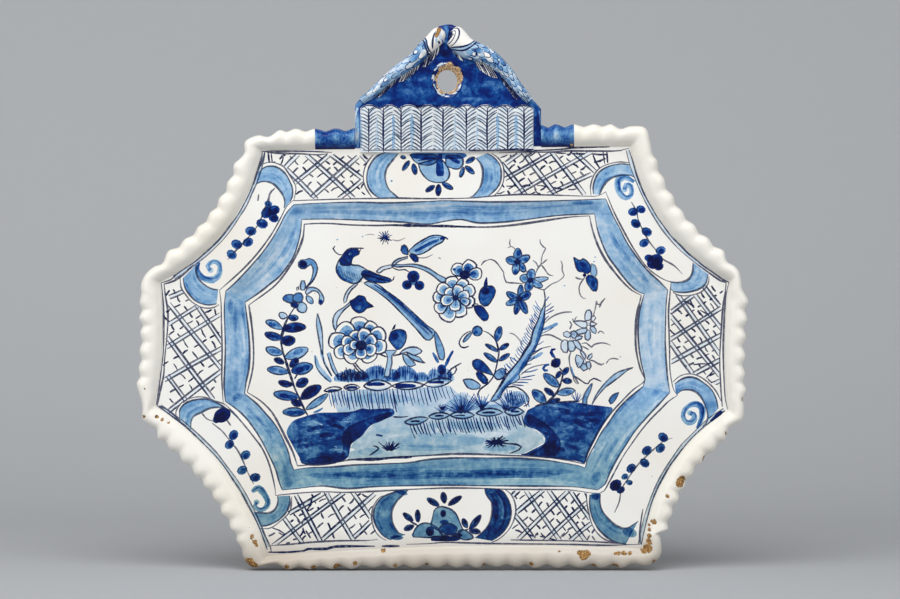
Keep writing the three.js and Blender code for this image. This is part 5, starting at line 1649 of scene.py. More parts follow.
# %% [markdown]
# ## Tin glaze with cobalt
# The body is buff earthenware under an opaque white tin glaze, and the cobalt sank into that glaze
# in the kiln. So there is one glossy coat over everything, and the colour lies inside it. One wash of
# cobalt is a pale sky blue, two are a clear blue, and where the brush went over four times or more it
# is nearly black. A colour ramp over the `cobalt` attribute holds that dilution series. Noise along
# the stroke makes the washes uneven, as they pooled on the raw glaze. The glaze broke away
# from sharp edges, and the clay attribute shows the rough buff body there.

# %% Glaze colours
DILUTION = (
    # share of the strongest cobalt, colour
    (0.0, "#F2F0EB"), (0.06, "#D2DEE9"), (0.167, "#95B9D8"), (0.25, "#709DC8"), (0.333, "#4B7EB5"),
    (0.5, "#0E4690"), (0.667, "#052470"), (1.0, "#070F40"),
)
STRONGEST = 6
TREK_COLOUR = "#152049"
BARE_CLAY = ("#46321C", "#9A7242", "#CBA36C")
# Heights in the frame, in metres: the blue is fully green at the first and not at all at the second, and
# the same for the painted shade on the foot.
GREEN_HEIGHTS = (-0.206, -0.165)
FOOT_SHADE_HEIGHTS = (-0.252, -0.236)


def painted_glaze(name, ground=DILUTION[0][1], pooling=0.45, roughness=0.24, body=BARE_CLAY):
    """Opaque tin glaze, painted in cobalt: glossy, slightly uneven, with the body bare in chips."""
    material, tree, shader = new_material(name)
    where = add_node(tree, "ShaderNodeTexCoord").outputs["Object"]

    def noise(scale, detail, **more):
        return add_node(tree, "ShaderNodeTexNoise", inputs={
            "Vector": where, "Scale": scale, "Detail": detail, **more}).outputs["Fac"]

    def painted(attribute):
        return add_node(tree, "ShaderNodeAttribute", {"attribute_name": attribute}).outputs["Fac"]

    # Pools of colour from 8 mm across down to 1 mm, and brush marks about 2 mm across.
    pools = noise(125, 4, Roughness=0.62, Distortion=0.5)
    marks = noise(460, 3, Roughness=0.65)
    both = maths(tree, "MULTIPLY_ADD", marks, 0.5, pools)
    unevenness = mapped(tree, both, 0.52, 0.98, 1 - pooling, 1 + pooling)
    strength = maths(tree, "MULTIPLY", painted("cobalt"), unevenness)
    share = maths(tree, "DIVIDE", strength, STRONGEST)
    washes = colour_series(tree, share, ((0, ground), *DILUTION[1:]))
    # Towards the foot of the plaque the kiln turned the blue a little greener and greyer.
    height = add_node(tree, "ShaderNodeSeparateXYZ", inputs={"Vector": where}).outputs["Z"]
    greened = maths(tree, "MULTIPLY", mapped(tree, height, *GREEN_HEIGHTS, 0.85, 0),
                    mapped(tree, share, 0.02, 0.12))
    fired = blended(tree, greened, washes, "#D2DCCB", "MULTIPLY")
    # The bottom rim is painted darker and warmer towards the foot: painted shade where less light reaches
    # it.
    foot_shaded = blended(tree, mapped(tree, height, *FOOT_SHADE_HEIGHTS, 1, 0), fired, "#CDC7C2", "MULTIPLY")
    # The glaze itself is a little warmer and greyer in places about 60 mm across.
    warmed = blended(tree, mapped(tree, noise(16, 2), 0.4, 0.7, 0, 0.35), foot_shaded, "#F3EADB", "MULTIPLY")
    trek = maths(tree, "MULTIPLY", painted("trek"), mapped(tree, marks, 0.3, 0.5, 0.75, 1))
    outlined = blended(tree, trek, warmed, TREK_COLOUR)
    # Pinholes and kiln dust: brown specks about half a millimetre wide, 20 mm apart.
    cells = add_node(tree, "ShaderNodeTexVoronoi", inputs={"Vector": where, "Scale": 75})
    specks = mapped(tree, cells.outputs["Distance"], 0.018, 0.035, 0.5, 0)
    specked = blended(tree, specks, outlined, "#9A7D5C")
    # The edge of a chip is ragged: noise from 3 mm across down to half a millimetre decides where it runs.
    crumbs = noise(1500, 2)
    tear = mapped(tree, noise(330, 4, Roughness=0.7), 0.3, 0.7, 0.5, 1.5)
    bare = mapped(tree, maths(tree, "MULTIPLY", tear, painted("clay")), 0.44, 0.52)
    body_tone = colour_series(tree, crumbs, list(zip((0.34, 0.5, 0.68), body)))
    chipped_away = blended(tree, bare, specked, body_tone)
    waves = add_node(tree, "ShaderNodeBump", inputs={"Height": pools, "Strength": 0.12, "Distance": 0.0006})
    rough_clay = add_node(tree, "ShaderNodeBump", inputs={
        "Height": maths(tree, "MULTIPLY", crumbs, bare), "Strength": 0.6, "Distance": 0.0008,
        "Normal": waves.outputs["Normal"]})
    tree.links.new(chipped_away, shader.inputs["Base Color"])
    tree.links.new(mapped(tree, bare, 0, 1, roughness, 0.9), shader.inputs["Roughness"])
    tree.links.new(rough_clay.outputs["Normal"], shader.inputs["Normal"])
    shader.inputs["Specular IOR Level"].default_value = 0.22
    return material


# The slab's clay shows only on the back, which has no glaze. It is paler than the dirty clay of the chips.
glaze = painted_glaze("tin glaze painted in cobalt", body=("#8F6E47", "#B79161", "#CFAE80"))
painted_slab.data.materials.append(glaze)
print("nodes in the glaze:", len(glaze.node_tree.nodes))

# %% [markdown]
# ## The lobed rim
# Round the field runs a raised rim, pressed into lobes at the edge while the clay was soft. It is a
# half-round moulding with shallow flutes that fade out towards the field. A modifier could bend one
# lobe round the plaque, but the corners turn sharply and no two thumb marks are alike, so each
# length is lofted: one closed section after another along its side, with the lobe's swell in it.
# Neighbouring lengths share their last section, and its normals, so the glaze runs round the corners.

# %% Rim sections
# Width of each side's rim at its start and its end, clockwise from the top.
RIM_WIDTHS = ((9.1, 10.4), (10.5, 10.5), (9.9, 9.9), (11.4, 11.4), (12.1, 10.4), (12.9, 12.9), (11.4, 11.4),
              (10.6, 10.6))
LOBE_PITCHES = (10.6, 10.9, 9.6, 9.4, 11.2, 10.2, 9.6, 10.9)
RIM_RELIEF = 4.3
LOBE_DEPTH = 1.6
FLUTE_DEPTH = 1.1
CORNER_REACH = 11
CORNER_FULL = 5
# Each corner has one lobe of its own shape. Its outline is placed in steps on both sides of the corner.
CORNER_STEPS = (-11, -6.6, -3.3, 0, 3.3, 6.6, 11)
CORNER_LOBES = (
    # a place near the field's corner, then the outline from there
    (-97, 105, (-12.6, -7.8, -10.6, -3.6, -9, -0.6, -8.7, 4.8, -2, 8, 4, 6.9, 11, 10.2)),
    (97, 106, (-11, 11.8, -5.2, 10.1, 0, 11.8, 7.8, 11, 10.2, 4.5, 11.4, -2.5, 13.2, -8.8)),
    (149, 36, (-5.4, 11.9, -1.2, 10.1, 2.4, 8.6, 5.2, 5.6, 6.5, 0.8, 6.9, -4, 9.2, -10)),
    (148, -32, (10, 11.5, 8.5, 6.3, 9.2, 2, 8.4, -4.6, 3.4, -7.9, 0.6, -9.7, -2.4, -15)),
    (103, -103, (11.8, 10, 8.8, 6.6, 10.4, 3, 10.4, -6, 3.5, -11.4, -4, -10.2, -10.6, -12.2)),
    (-94, -107, (10.5, -8.8, 4.5, -6.3, -0.5, -6.8, -8.5, -8.2, -13, -3.4, -14, 1.5, -15.4, 6.2)),
    (-153, -31, (4.2, -13, 0.6, -10.6, -3, -9, -7.2, -5.5, -7.2, 0, -7.8, 4.6, -8.7, 10)),
    (-150, 36, (-10.3, -10, -10.5, -6, -10.9, -2, -8.7, 3.4, -4, 7.8, 0.8, 9.3, 3.6, 12.7)),
)
LUTE = 0.3
# Share of the reach, depth as a share of the relief, and how much of the flute shows there.
RIM_PROFILE = (
    (0.03, 0.04, 0), (0.08, 0.18, 0), (0.14, 0.37, 0.05), (0.21, 0.56, 0.12), (0.29, 0.73, 0.22),
    (0.38, 0.86, 0.36), (0.48, 0.95, 0.52), (0.58, 1.0, 0.68), (0.68, 0.99, 0.8), (0.77, 0.92, 0.9),
    (0.85, 0.78, 0.96), (0.915, 0.57, 1), (0.96, 0.32, 1), (0.99, 0.02, 1), (1.0, -0.35, 0.9),
    (1.0, -0.7, 0.7),
)


def side_normal(side, t):
    way = side(t + 1e-4) - side(t - 1e-4)
    return np.array((-way[1], way[0])) / np.hypot(*way)


CHORDS = [float(np.hypot(*(side(1) - side(0)))) for side in solid_sides]
CORNER_CURVES = []
for x, z, flat in CORNER_LOBES:
    steps = np.array(CORNER_STEPS, float)
    spots = np.array(pairs(flat)) + (x, z)
    # A soft curve through the placed points, with the slope of each taken from its two neighbours.
    slopes = np.gradient(spots, steps, axis=0)
    CORNER_CURVES.append((steps, spots, slopes))


def corner_place(corner, away):
    """Where the outline of a corner's lobe runs, at a distance along the field's edge."""
    steps, spots, slopes = CORNER_CURVES[corner]
    k = int(np.clip(np.searchsorted(steps, away) - 1, 0, len(steps) - 2))
    span = steps[k + 1] - steps[k]
    s = (away - steps[k]) / span
    return (spots[k] * (1 + 2 * s) * (1 - s) ** 2 + slopes[k] * span * s * (1 - s) ** 2
            + spots[k + 1] * s * s * (3 - 2 * s) + slopes[k + 1] * span * s * s * (s - 1))


def rim_section(index, t, swell):
    """One closed section of the rim, as places and depths. Near a corner it turns little by little."""
    foot = field_sides[index](t)
    side = solid_sides[index]
    width = RIM_WIDTHS[index][0] * (1 - t) + RIM_WIDTHS[index][1] * t
    straight = side(t) + side_normal(side, t) * (width + LOBE_DEPTH * swell) - foot
    away = (t if t < 0.5 else t - 1) * CHORDS[index]
    share = float(np.clip((CORNER_REACH - abs(away)) / (CORNER_REACH - CORNER_FULL), 0, 1))
    corner = share * share * (3 - 2 * share)
    if corner:
        along = float(np.clip(away, -CORNER_REACH, CORNER_REACH))
        lobe = corner_place((index + (t >= 0.5)) % SIDES, along) - foot
        straight = straight * (1 - corner) + lobe * corner
    reach = float(np.hypot(*straight))
    outward = straight / reach
    flute = FLUTE_DEPTH * (1 - swell) * (1 - corner)
    section = [(-0.3, BORDER_DEPTH + 0.02)]
    for share, height, fluted in RIM_PROFILE:
        section.append((share * reach, BORDER_DEPTH + RIM_RELIEF * height - flute * fluted))
    section += [(0.995 * reach, 3.6), (0.97 * reach, 2), (0.92 * reach, 0.7), (0.86 * reach, 0),
                (LUTE, 0), (LUTE, BORDER_DEPTH - 0.5)]
    return [(*(foot + outward * out), depth) for out, depth in section]


def lobe_stations(lobes, steps):
    """Ways along a length from 0 to 1, with the swell of the lobes there. No two lobes are alike."""
    widths = np.array([hand.uniform(0.88, 1.12) for _ in range(lobes)])
    swells = [0.85] + [hand.uniform(0.7, 1.05) for _ in range(lobes - 1)] + [0.85]
    edges = np.concatenate(([0], np.cumsum(widths) / widths.sum()))
    stations = []
    for k in range(lobes):
        for step in range(steps + (k == lobes - 1)):
            s = step / steps
            swell = swells[k] if s < 0.5 else swells[k + 1]
            turn = abs(math.cos(math.pi * s))
            stations.append((edges[k] + (edges[k + 1] - edges[k]) * s,
                             swell * (0.6 * turn ** 2 + 0.4 * turn)))
    return stations


# %% Lofting through sections
CHIP_DEPTH = 0.4
CHIPS = (
    # x, z, radius: where the glaze has come off the rim
    (-104, -112.5, 3.8), (-101.5, -114.5, 3.2), (-159, -35, 1.2), (-152, -35, 1.4), (-149.5, -36.5, 1.2),
    (-146, -38, 0.8), (-102, -98.6, 1.8), (-100.8, -101, 1.5), (-99.8, -103, 1.1), (-113.5, -97, 1.9),
    (-112.5, -98.5, 1.4), (123, -69.8, 3), (124.5, -68, 2.3), (106.5, -104.5, 3.2), (104.5, -105.5, 2.4),
    (106.8, -101, 1.8), (107.2, -98, 1.5), (107.2, -95, 1.2), (107, -92.5, 1), (72.5, -108.2, 3.1),
    (74.8, -107.3, 2), (70.5, -107, 1.8), (91, -107.2, 1.4), (94, -107, 1.6), (97, -107.2, 1.4),
    (89, -107.3, 1), (109.5, -90.5, 1.9), (116.5, -77, 1.3), (136.5, -57.5, 2), (147.5, -44, 1),
    (78, -114.5, 2), (89, -114.6, 2.3), (110, -112, 1.6), (-70, -114.6, 1.7), (-57.5, -114.3, 2.2),
    (-48, -112.6, 1.5), (-84, -114.4, 1.6), (20, -113.6, 1.4), (-27, -113.8, 1.5), (-10, -113.5, 1.2),
    (-158.5, -20, 0.7), (45, -113, 1.5), (-120, -90, 1.4), (156.5, -26, 1.2), (66, 107.8, 0.9),
    (60, -106, 0.8), (-33, -105.8, 1.6), (-132, -70, 0.9),
)


def vertex_numbers(mesh, name, values):
    attribute = mesh.attributes.new(name, "FLOAT", "POINT")
    attribute.data.foreach_set("value", np.asarray(values, dtype=np.float32))


def chipped(places):
    """How bare each place of the rim is. The material makes the edge of each chip ragged."""
    bare = np.zeros(len(places))
    for x, z, radius in CHIPS:
        away = np.hypot(*(places[:, :2] - (x, z)).T)
        bare = np.maximum(bare, np.clip(1.3 - away / radius, 0, 1))
    return bare


def loft(name, rings):
    """A closed body through rings of x, z, depth, with its normals from the loft alone."""
    grid = np.array(rings, float)
    count, around = grid.shape[:2]
    bare = chipped(grid.reshape(-1, 3)).reshape(count, around)
    heart = grid.mean(axis=1, keepdims=True)
    inward = heart - grid
    inward /= np.linalg.norm(inward, axis=2, keepdims=True)
    grid = grid + inward * bare[:, :, None] * CHIP_DEPTH
    faces = []
    for i in range(count - 1):
        for k in range(around):
            n = (k + 1) % around
            faces.append((i * around + k, i * around + n, (i + 1) * around + n, (i + 1) * around + k))
    faces += [tuple(range(around))[::-1], tuple(range((count - 1) * around, count * around))]
    points = [place(x, depth, z) for x, z, depth in grid.reshape(-1, 3)]
    mesh = bpy.data.meshes.new(name)
    mesh.from_pydata(points, [], faces)
    vertex_numbers(mesh, "clay", bare.ravel())
    piece = bpy.data.objects.new(name, mesh)
    bpy.context.collection.objects.link(piece)
    shape_grid = np.array(points).reshape(count, around, 3)
    along = np.gradient(shape_grid, axis=0)
    across = np.roll(shape_grid, -1, axis=1) - np.roll(shape_grid, 1, axis=1)
    normals = np.cross(across, along)
    normals /= np.linalg.norm(normals, axis=2, keepdims=True) + 1e-12
    middle = shape_grid.mean(axis=1, keepdims=True)
    if ((shape_grid - middle) * normals).sum() < 0:
        normals = -normals
        mesh.flip_normals()
    return piece, shape_grid, normals


# %% The nine lengths of the rim and the two blue feet
TOP_LEFT_X = float(field_sides[0](0)[0])
TOP_LENGTH = float(field_sides[0](1)[0]) - TOP_LEFT_X
CREST_LEFT = -47.9
CREST_RIGHT = 50
LEFT_FOOT_LENGTH = 20.6
RIGHT_FOOT_LENGTH = 17
FOOT_LEFT_X = CREST_LEFT - LUTE - LEFT_FOOT_LENGTH
FOOT_RIGHT_X = CREST_RIGHT + LUTE + RIGHT_FOOT_LENGTH


def along_top(x):
    return (x - TOP_LEFT_X) / TOP_LENGTH


LENGTHS = [
    # node, side, from, to, steps per lobe
    ("rim_top_left", 0, 0, along_top(FOOT_LEFT_X), 12),
    ("rim_top_right", 0, along_top(FOOT_RIGHT_X), 1, 12),
    ("crest_foot_left", 0, along_top(FOOT_LEFT_X), along_top(CREST_LEFT), 20),
    ("crest_foot_right", 0, along_top(CREST_RIGHT), along_top(FOOT_RIGHT_X), 20),
] + [(f"rim_{name}", index + 1, 0, 1, 12) for index, name in enumerate(
    ("upper_right", "right", "lower_right", "bottom", "lower_left", "left", "upper_left"))]
rim_pieces = {}
shared = {}
for node, index, start, end, steps in LENGTHS:
    side = field_sides[index]
    run = float(np.hypot(*(side(1) - side(0)))) * (end - start)
    lobes = max(1, round(run / LOBE_PITCHES[index]))
    stations = lobe_stations(lobes, steps)
    rings = [rim_section(index, start + (end - start) * s, swell) for s, swell in stations]
    piece, grid, normals = loft("glazed_" + node, rings)
    rim_pieces[node] = (piece, grid, normals, stations)
    for row in (0, -1):
        for point, normal in zip(grid[row], normals[row]):
            key = tuple(np.round(point, 5))
            shared[key] = shared.get(key, 0) + normal
white = painted_glaze("white tin glaze", ground="#F2EEE5", pooling=0.2, roughness=0.22)
blue = painted_glaze("deep cobalt glaze", pooling=0.42, roughness=0.2,
                     body=("#6E5238", "#BC966C", "#E8D6B4"))
for node, (piece, grid, normals, stations) in rim_pieces.items():
    for row in (0, -1):
        for k, point in enumerate(grid[row]):
            total = shared[tuple(np.round(point, 5))]
            normals[row, k] = total / np.linalg.norm(total)
    for face in piece.data.polygons:
        face.use_smooth = True
    piece.data.normals_split_custom_set_from_vertices(normals.reshape(-1, 3).tolist())
    is_foot = node.startswith("crest_foot")
    piece.data.materials.append(blue if is_foot else white)
    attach(piece, "root")
    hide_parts(node)
print("rim pieces:", len(rim_pieces))

# %% Colour on the feet
for node in ("crest_foot_left", "crest_foot_right"):
    piece, grid, normals, stations = rim_pieces[node]
    around = grid.shape[1]
    cobalt, trek = [], []
    for s, swell in stations:
        for k in range(around):
            out = RIM_PROFILE[min(max(k - 1, 0), len(RIM_PROFILE) - 1)][0]
            # Each lobe's crown is paler: a painted highlight where the swell catches the light.
            crown_highlight = math.exp(-((out - 0.55) / 0.22) ** 2) * swell ** 2
            foot_line = math.exp(-(out / 0.12) ** 2)
            cobalt.append(2.75 - 2 * crown_highlight + 1.8 * foot_line + 0.5 * hand.uniform(-1, 1))
            trek.append(0.5 * foot_line)
    vertex_numbers(piece.data, "cobalt", cobalt)
    vertex_numbers(piece.data, "trek", trek)

# %% [markdown]
# ## The crest
# The crest is a pierced board with two fish on its sloping edges and a row of feathers at its foot.
# The board is a slab of clay with thumbed edges, so its sheet is rounded off along its outline, and
# it sinks round the hole, where the hook has worn through glaze and clay. It is painted first.

# %% Outline of the crest board
CREST_BASE = 106.81


def slope_through(*flat):
    """An uneven edge through placed points, as a function of the share of its length."""
    curve = np.array(smooth(flat, step=0.8))
    run = np.concatenate(([0], np.cumsum(np.hypot(*np.diff(curve, axis=0).T))))
    return lambda share: np.array([np.interp(share * run[-1], run, values) for values in curve.T])


LEFT_SLOPE = (-45.5, 131.8, -40.8, 135.4, -34.5, 141.8, -28.2, 147.6, -21.9, 152.3, -18.5, 154.9,
              -15.6, 158.4, -12.4, 162, -9.3, 165, -6.5, 168.2)
RIGHT_SLOPE = (47.4, 129.9, 44.3, 133, 41.1, 137.1, 38, 141.3, 34.8, 146.6, 28.5, 153.7, 25.4, 156.2,
               22.2, 158.8, 19.1, 160.3, 15.9, 161.5, 12.8, 163.3, 9.4, 167.2)
left_slope = slope_through(CREST_LEFT, CREST_BASE + 22, *LEFT_SLOPE)
right_slope = slope_through(CREST_RIGHT, CREST_BASE + 20, *RIGHT_SLOPE)
CROWN = ((-3.5, 170.3), (0, 171.2), (3, 171.2), (6, 169.8))
SLOPE_STEPS = 24


def top_edge(x):
    """Height of the slab's top edge, where the crest stands."""
    return float(field_sides[0](along_top(x))[1]) + LUTE


board_edge = [(CREST_LEFT, top_edge(CREST_LEFT))]
board_edge += [tuple(left_slope(k / SLOPE_STEPS)) for k in range(SLOPE_STEPS + 1)]
board_edge += CROWN
board_edge += [tuple(right_slope(1 - k / SLOPE_STEPS)) for k in range(SLOPE_STEPS + 1)]
board_edge += [(CREST_RIGHT, top_edge(CREST_RIGHT))]
HOLE_X = 0.6
HOLE_Z = CREST_BASE + 34.6
HOLE_HALF_WIDTH = 5.3
HOLE_HALF_HEIGHT = 6
HOLE_POINTS = 48


def by_hole(a, wider, ragged=1):
    """A place on a ring round the hole, at an angle and a distance from its edge."""
    return (HOLE_X + (HOLE_HALF_WIDTH + wider) * ragged * math.cos(a),
            HOLE_Z + (HOLE_HALF_HEIGHT + wider) * ragged * math.sin(a))


def hole_ring(wider):
    ring = []
    for k in range(HOLE_POINTS):
        a = 2 * math.pi * k / HOLE_POINTS
        ragged = 1 + 0.04 * math.sin(3 * a + 1) * min(1, wider) + 0.03 * math.sin(5 * a) * min(1, wider)
        ring.append(by_hole(a, wider, ragged))
    return ring


print("board outline points:", len(board_edge))

# %% Sizes of the two fish
def along_row(values, share):
    return np.interp(share, np.linspace(0, 1, len(values)), values)


def back_line(slope, head, turn):
    """A fish's back, along a slope of the board and on to its nose, and the way across the fish."""
    flat = [c for k in range(15) for c in slope(k / 14 * 0.98)]
    line_of_back = np.array(smooth(flat + head, step=0.8))
    along = np.gradient(line_of_back, axis=0)
    across = np.stack((-along[:, 1], along[:, 0]), axis=1) / np.hypot(*along.T)[:, None] * turn
    run = np.concatenate(([0], np.cumsum(np.hypot(*np.diff(line_of_back, axis=0).T))))

    def at(t):
        spot = [np.interp(t * run[-1], run, values) for values in (*line_of_back.T, *across.T)]
        return np.array(spot[:2]), np.array(spot[2:])

    return at, float(run[-1])


LEFT_WIDTHS = (4, 5, 5.9, 6.9, 7.8, 8.6, 9.6)
RIGHT_WIDTHS = (4.2, 5.8, 6.9, 8.3, 10, 11.6, 11.2)
left_back = back_line(left_slope, [-4.6, 169.4, -1.6, 170.4], -1)
right_back = back_line(right_slope, [6.6, 169.8, 3.2, 170.8], 1)
print("fish are", round(left_back[1]), "and", round(right_back[1]), "mm long")

# %% Painting on the board
drawing = []
wash((-60, 100, -60, 180, 60, 180, 60, 100), 3.45, sharp=True)
for _ in range(90):
    x, z = hand.uniform(-42, 44), hand.uniform(128, 160)
    light = -1 if (-30 < x < -14 and z < 139) or (10 < x < 34 and z < 143) else 1
    wash(oval(x, z, hand.uniform(1.5, 6), hand.uniform(0.7, 2), hand.uniform(-25, 25), 8),
         light * hand.uniform(0.1, 0.45) if hand.random() < 0.8 else hand.uniform(-0.7, 0.6))
# Pools of colour. The pale ones along the left edge, near x -46, are a painted highlight on the rounded
# edge.
for row in (
        (-12, 128.3, 9, 0.9, 2.8, 1), (6, 127, 34, 1.1, 1.6, 0), (0.5, 156, 4, 2.4, 1.2, 0),
        (-1, 151, 12, 2, 0.9, 0), (-16, 147, 5, 2, 0.5, 45), (-46.5, 117, 1.4, 11, -2.2, 0),
        (-46, 112, 1.2, 5, -0.9, 0), (48.4, 116, 1.3, 9, 1, 0), (0.2, 168, 1.3, 4, -1.6, 4),
        (1.6, 163, 0.8, 6, 2, -4), (0, 160, 1.2, 3, -0.8, 0), (15, 132, 9, 1.1, -0.7, -3),
        (22, 140, 4, 1.6, -1.2, 10), (-20, 136, 6, 1.5, -0.9, -5), (-32, 132, 5, 1.2, -0.9, 5)):
    pool(*row)
# Pale strokes down both side edges of the board: painted highlights where the rounded edge catches the
# light.
stroke((-48, 108, -48.6, 115, -48.4, 121, -47, 128, -44, 131), 2.4, -1.5)
stroke((-48.6, 112, -48.6, 120, -47.6, 126), 1.2, -1)
stroke((49.8, 115, 49.6, 121, 49, 126), 1.1, -1.7)
FINS = (
    # back, widths, from and to along the back, reach, lean in degrees
    (left_back[0], LEFT_WIDTHS, 0.68, 0.86, 6.6, 256), (left_back[0], LEFT_WIDTHS, 0.46, 0.64, 5.2, 246),
    (left_back[0], LEFT_WIDTHS, 0.22, 0.42, 5, 242), (right_back[0], RIGHT_WIDTHS, 0.8, 0.92, 5, -60),
    (right_back[0], RIGHT_WIDTHS, 0.5, 0.72, 7.4, -60), (right_back[0], RIGHT_WIDTHS, 0.24, 0.42, 6.5, -66),
)
for back, widths, start, end, reach, lean in FINS:
    lean = np.array((math.cos(math.radians(lean)), math.sin(math.radians(lean))))
    roots = []
    for k in range(7):
        t = start + (end - start) * k / 6
        at, across = back(t)
        roots.append(at + across * (along_row(widths, t) - 1.2))
    tips = [root + lean * reach * (0.75 + 0.35 * math.sin(math.pi * k / 6)) for k, root in enumerate(roots)]
    flat = [c for p in roots + [t - lean * 0.3 for t in tips[::-1]] for c in p]
    wash(flat, 0.1, clears=True)
    teeth = max(5, int(math.dist(roots[0], roots[-1]) / 1.5))
    for k in range(teeth + 1):
        f = 6 * k / teeth
        i = min(5, int(f))
        root = roots[i] + (roots[i + 1] - roots[i]) * (f - i)
        ragged = np.array((hand.uniform(-0.3, 0.3), hand.uniform(-0.5, 0.5)))
        tip = tips[i] + (tips[i + 1] - tips[i]) * (f - i) + ragged
        line((*root, *((root + tip) / 2 + (0.2, 0)), *tip), 0.45, 0.9)
for a0, a1, away in ((100, 175, 3), (185, 255, 2.4), (20, 75, 3.8), (300, 350, 2.6), (200, 240, 1.1)):
    flat = []
    for k in range(5):
        flat += by_hole(math.radians(a0 + (a1 - a0) * k / 4), away)
    stroke(flat, 1.1, 2)
for k in range(34):
    # White glaze that shows in dashes between the blue and the bare clay.
    a = hand.uniform(0, 2 * math.pi)
    away = 1.2 + 2 * max(0, math.sin(a - 0.1)) + hand.uniform(0, 0.9)
    x, z = HOLE_X + (5.2 + away) * math.cos(a), HOLE_Z + (6 + away) * math.sin(a)
    wash(oval(x, z, hand.uniform(0.5, 1.6), hand.uniform(0.25, 0.5), math.degrees(a) + 90, 7),
         hand.uniform(0.1, 1.2), clears=True)
board_drawing = drawing
print("strokes on the board:", len(board_drawing))

# %% The board as a body
BOARD_ROUNDING = 1.6


def flatten_back(piece, below, depth):
    """Lays all that is less deep than a limit flat, at one depth."""
    for vertex in piece.data.vertices:
        if vertex.co.y > -below * MM:
            vertex.co.y = -depth * MM


inner_edge = [tuple(np.array((HOLE_X, 135)) + (np.array(p) - (HOLE_X, 135)) * 0.97) for p in board_edge]
rings = [inner_edge] + [hole_ring(wider) for wider in (0.5, 1, 1.6, 2.3, 3, 4)]
guides = [ring + ring[:1] for ring in rings]
places, triangles, tones = cut_and_colour(board_edge, board_drawing, holes=[hole_ring(0)], guides=guides)
to_edge = np.minimum(ring_distance(places, board_edge), BOARD_ROUNDING)
to_edge[places[:, 1] < 116] = BOARD_ROUNDING
fall = BOARD_ROUNDING - np.sqrt(np.maximum(0, BOARD_ROUNDING ** 2 - (BOARD_ROUNDING - to_edge) ** 2))
to_hole = ring_distance(places, hole_ring(0))
angle = np.arctan2(places[:, 1] - HOLE_Z, places[:, 0] - HOLE_X)
worn_width = (1 + 2.7 * np.maximum(0, np.sin(angle + 0.5)) + 0.35 * np.sin(5 * angle)
              + 0.3 * np.sin(9 * angle + 1))
sink = (2 * np.exp(-(to_hole / 1.6) ** 2) * (1 + 0.2 * np.sin(3 * angle))
        + 0.25 * np.exp(-(to_hole / 3.5) ** 2))
board = sheet("pierced_crest_board", places, BORDER_DEPTH - fall - sink, triangles, tones)
wear(board, np.clip(1.45 - 0.95 * to_hole / worn_width, 0, 1))
close_back(board, 7.4)
flatten_back(board, 2.2, 0)
board.data.materials.append(blue)
front_uv(board, (-50, 104), (52, 173))
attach(board, "root")
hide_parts("crest_board")
print("board faces:", len(board.data.polygons))

# %% [markdown]
# The feathers are one moulded strip with nine rounded tops. Each has a quill and slanting barbs, all
# drawn in trek on the white glaze, and it is a little rounded from side to side.

# %% Feather fringe
QUILLS = (-40.6, -32.8, -23.6, -13.1, -1.5, 10.6, 21.8, 32.3, 40.9)
PARTINGS = (-45, -36.4, -27.7, -17.9, -6.9, 4.6, 16.2, 27, 36.7, 46)
FRINGE_LEFT = CREST_LEFT + 2.8
FRINGE_RIGHT = CREST_RIGHT - 4
FRINGE_TOP = CREST_BASE + 20.4
FRINGE_DROP = 2.3
FRINGE_ARCH = 2
FEATHERS = len(QUILLS)
pitch = (FRINGE_RIGHT - FRINGE_LEFT) / FEATHERS
fringe_edge = [(FRINGE_LEFT, top_edge(FRINGE_LEFT) - FRINGE_DROP)]
for step in range(FEATHERS * 10 + 1):
    arch = abs(math.sin(math.pi * step / 10)) ** 0.8
    fringe_edge.append((FRINGE_LEFT + pitch * step / 10, FRINGE_TOP + FRINGE_ARCH * arch))
fringe_edge.append((FRINGE_RIGHT, top_edge(FRINGE_RIGHT) - FRINGE_DROP))
drawing = []
wash((-50, 100, -50, 135, 50, 135, 50, 100), 0.24, sharp=True)
for quill, low, high in zip(QUILLS, PARTINGS, PARTINGS[1:]):
    for x, rx in ((low, 0.9), (high, 0.8)):
        if hand.random() < 0.6:
            stroke((x, 105, x + 0.2, 115, x, 124), rx * hand.uniform(1, 2.2), hand.uniform(0.3, 0.7),
                   ends=0.2)
    bend = hand.uniform(-0.3, 0.3)
    line((quill, 104, quill + bend, 115, quill, 127.2), 0.6, 0.88, step=2)
    for end in (low, high):
        reach = end - quill
        slant = hand.uniform(0.55, 0.8)
        z = 102.5 - abs(reach) * slant
        while z < 126:
            z += hand.uniform(1.6, 2.2)
            rise = abs(reach) * slant * hand.uniform(0.85, 1.15)
            last = min(z + rise, 128.2)
            first = max(z, 104.9)
            share = (last - z) / rise
            start_share = (first - z) / rise
            if share - start_share > 0.25:
                x0, x1 = quill + reach * start_share, quill + reach * share * 0.97
                barb = (x0, first, (x0 + x1) / 2, (first + last) / 2 + hand.uniform(0.2, 0.7), x1, last)
                stroke(barb, hand.uniform(0.7, 1.1), hand.uniform(0.1, 0.4), ends=0.2)
                line(barb, hand.uniform(0.34, 0.5), hand.uniform(0.62, 0.88))
for k in range(FEATHERS):
    x = FRINGE_LEFT + pitch * k
    line((x + 0.4, FRINGE_TOP - 0.2, x + pitch * 0.2, FRINGE_TOP + 0.9, x + pitch / 2, FRINGE_TOP + 1.5,
          x + pitch * 0.8, FRINGE_TOP + 0.9, x + pitch - 0.4, FRINGE_TOP - 0.2), 0.55, 0.85)
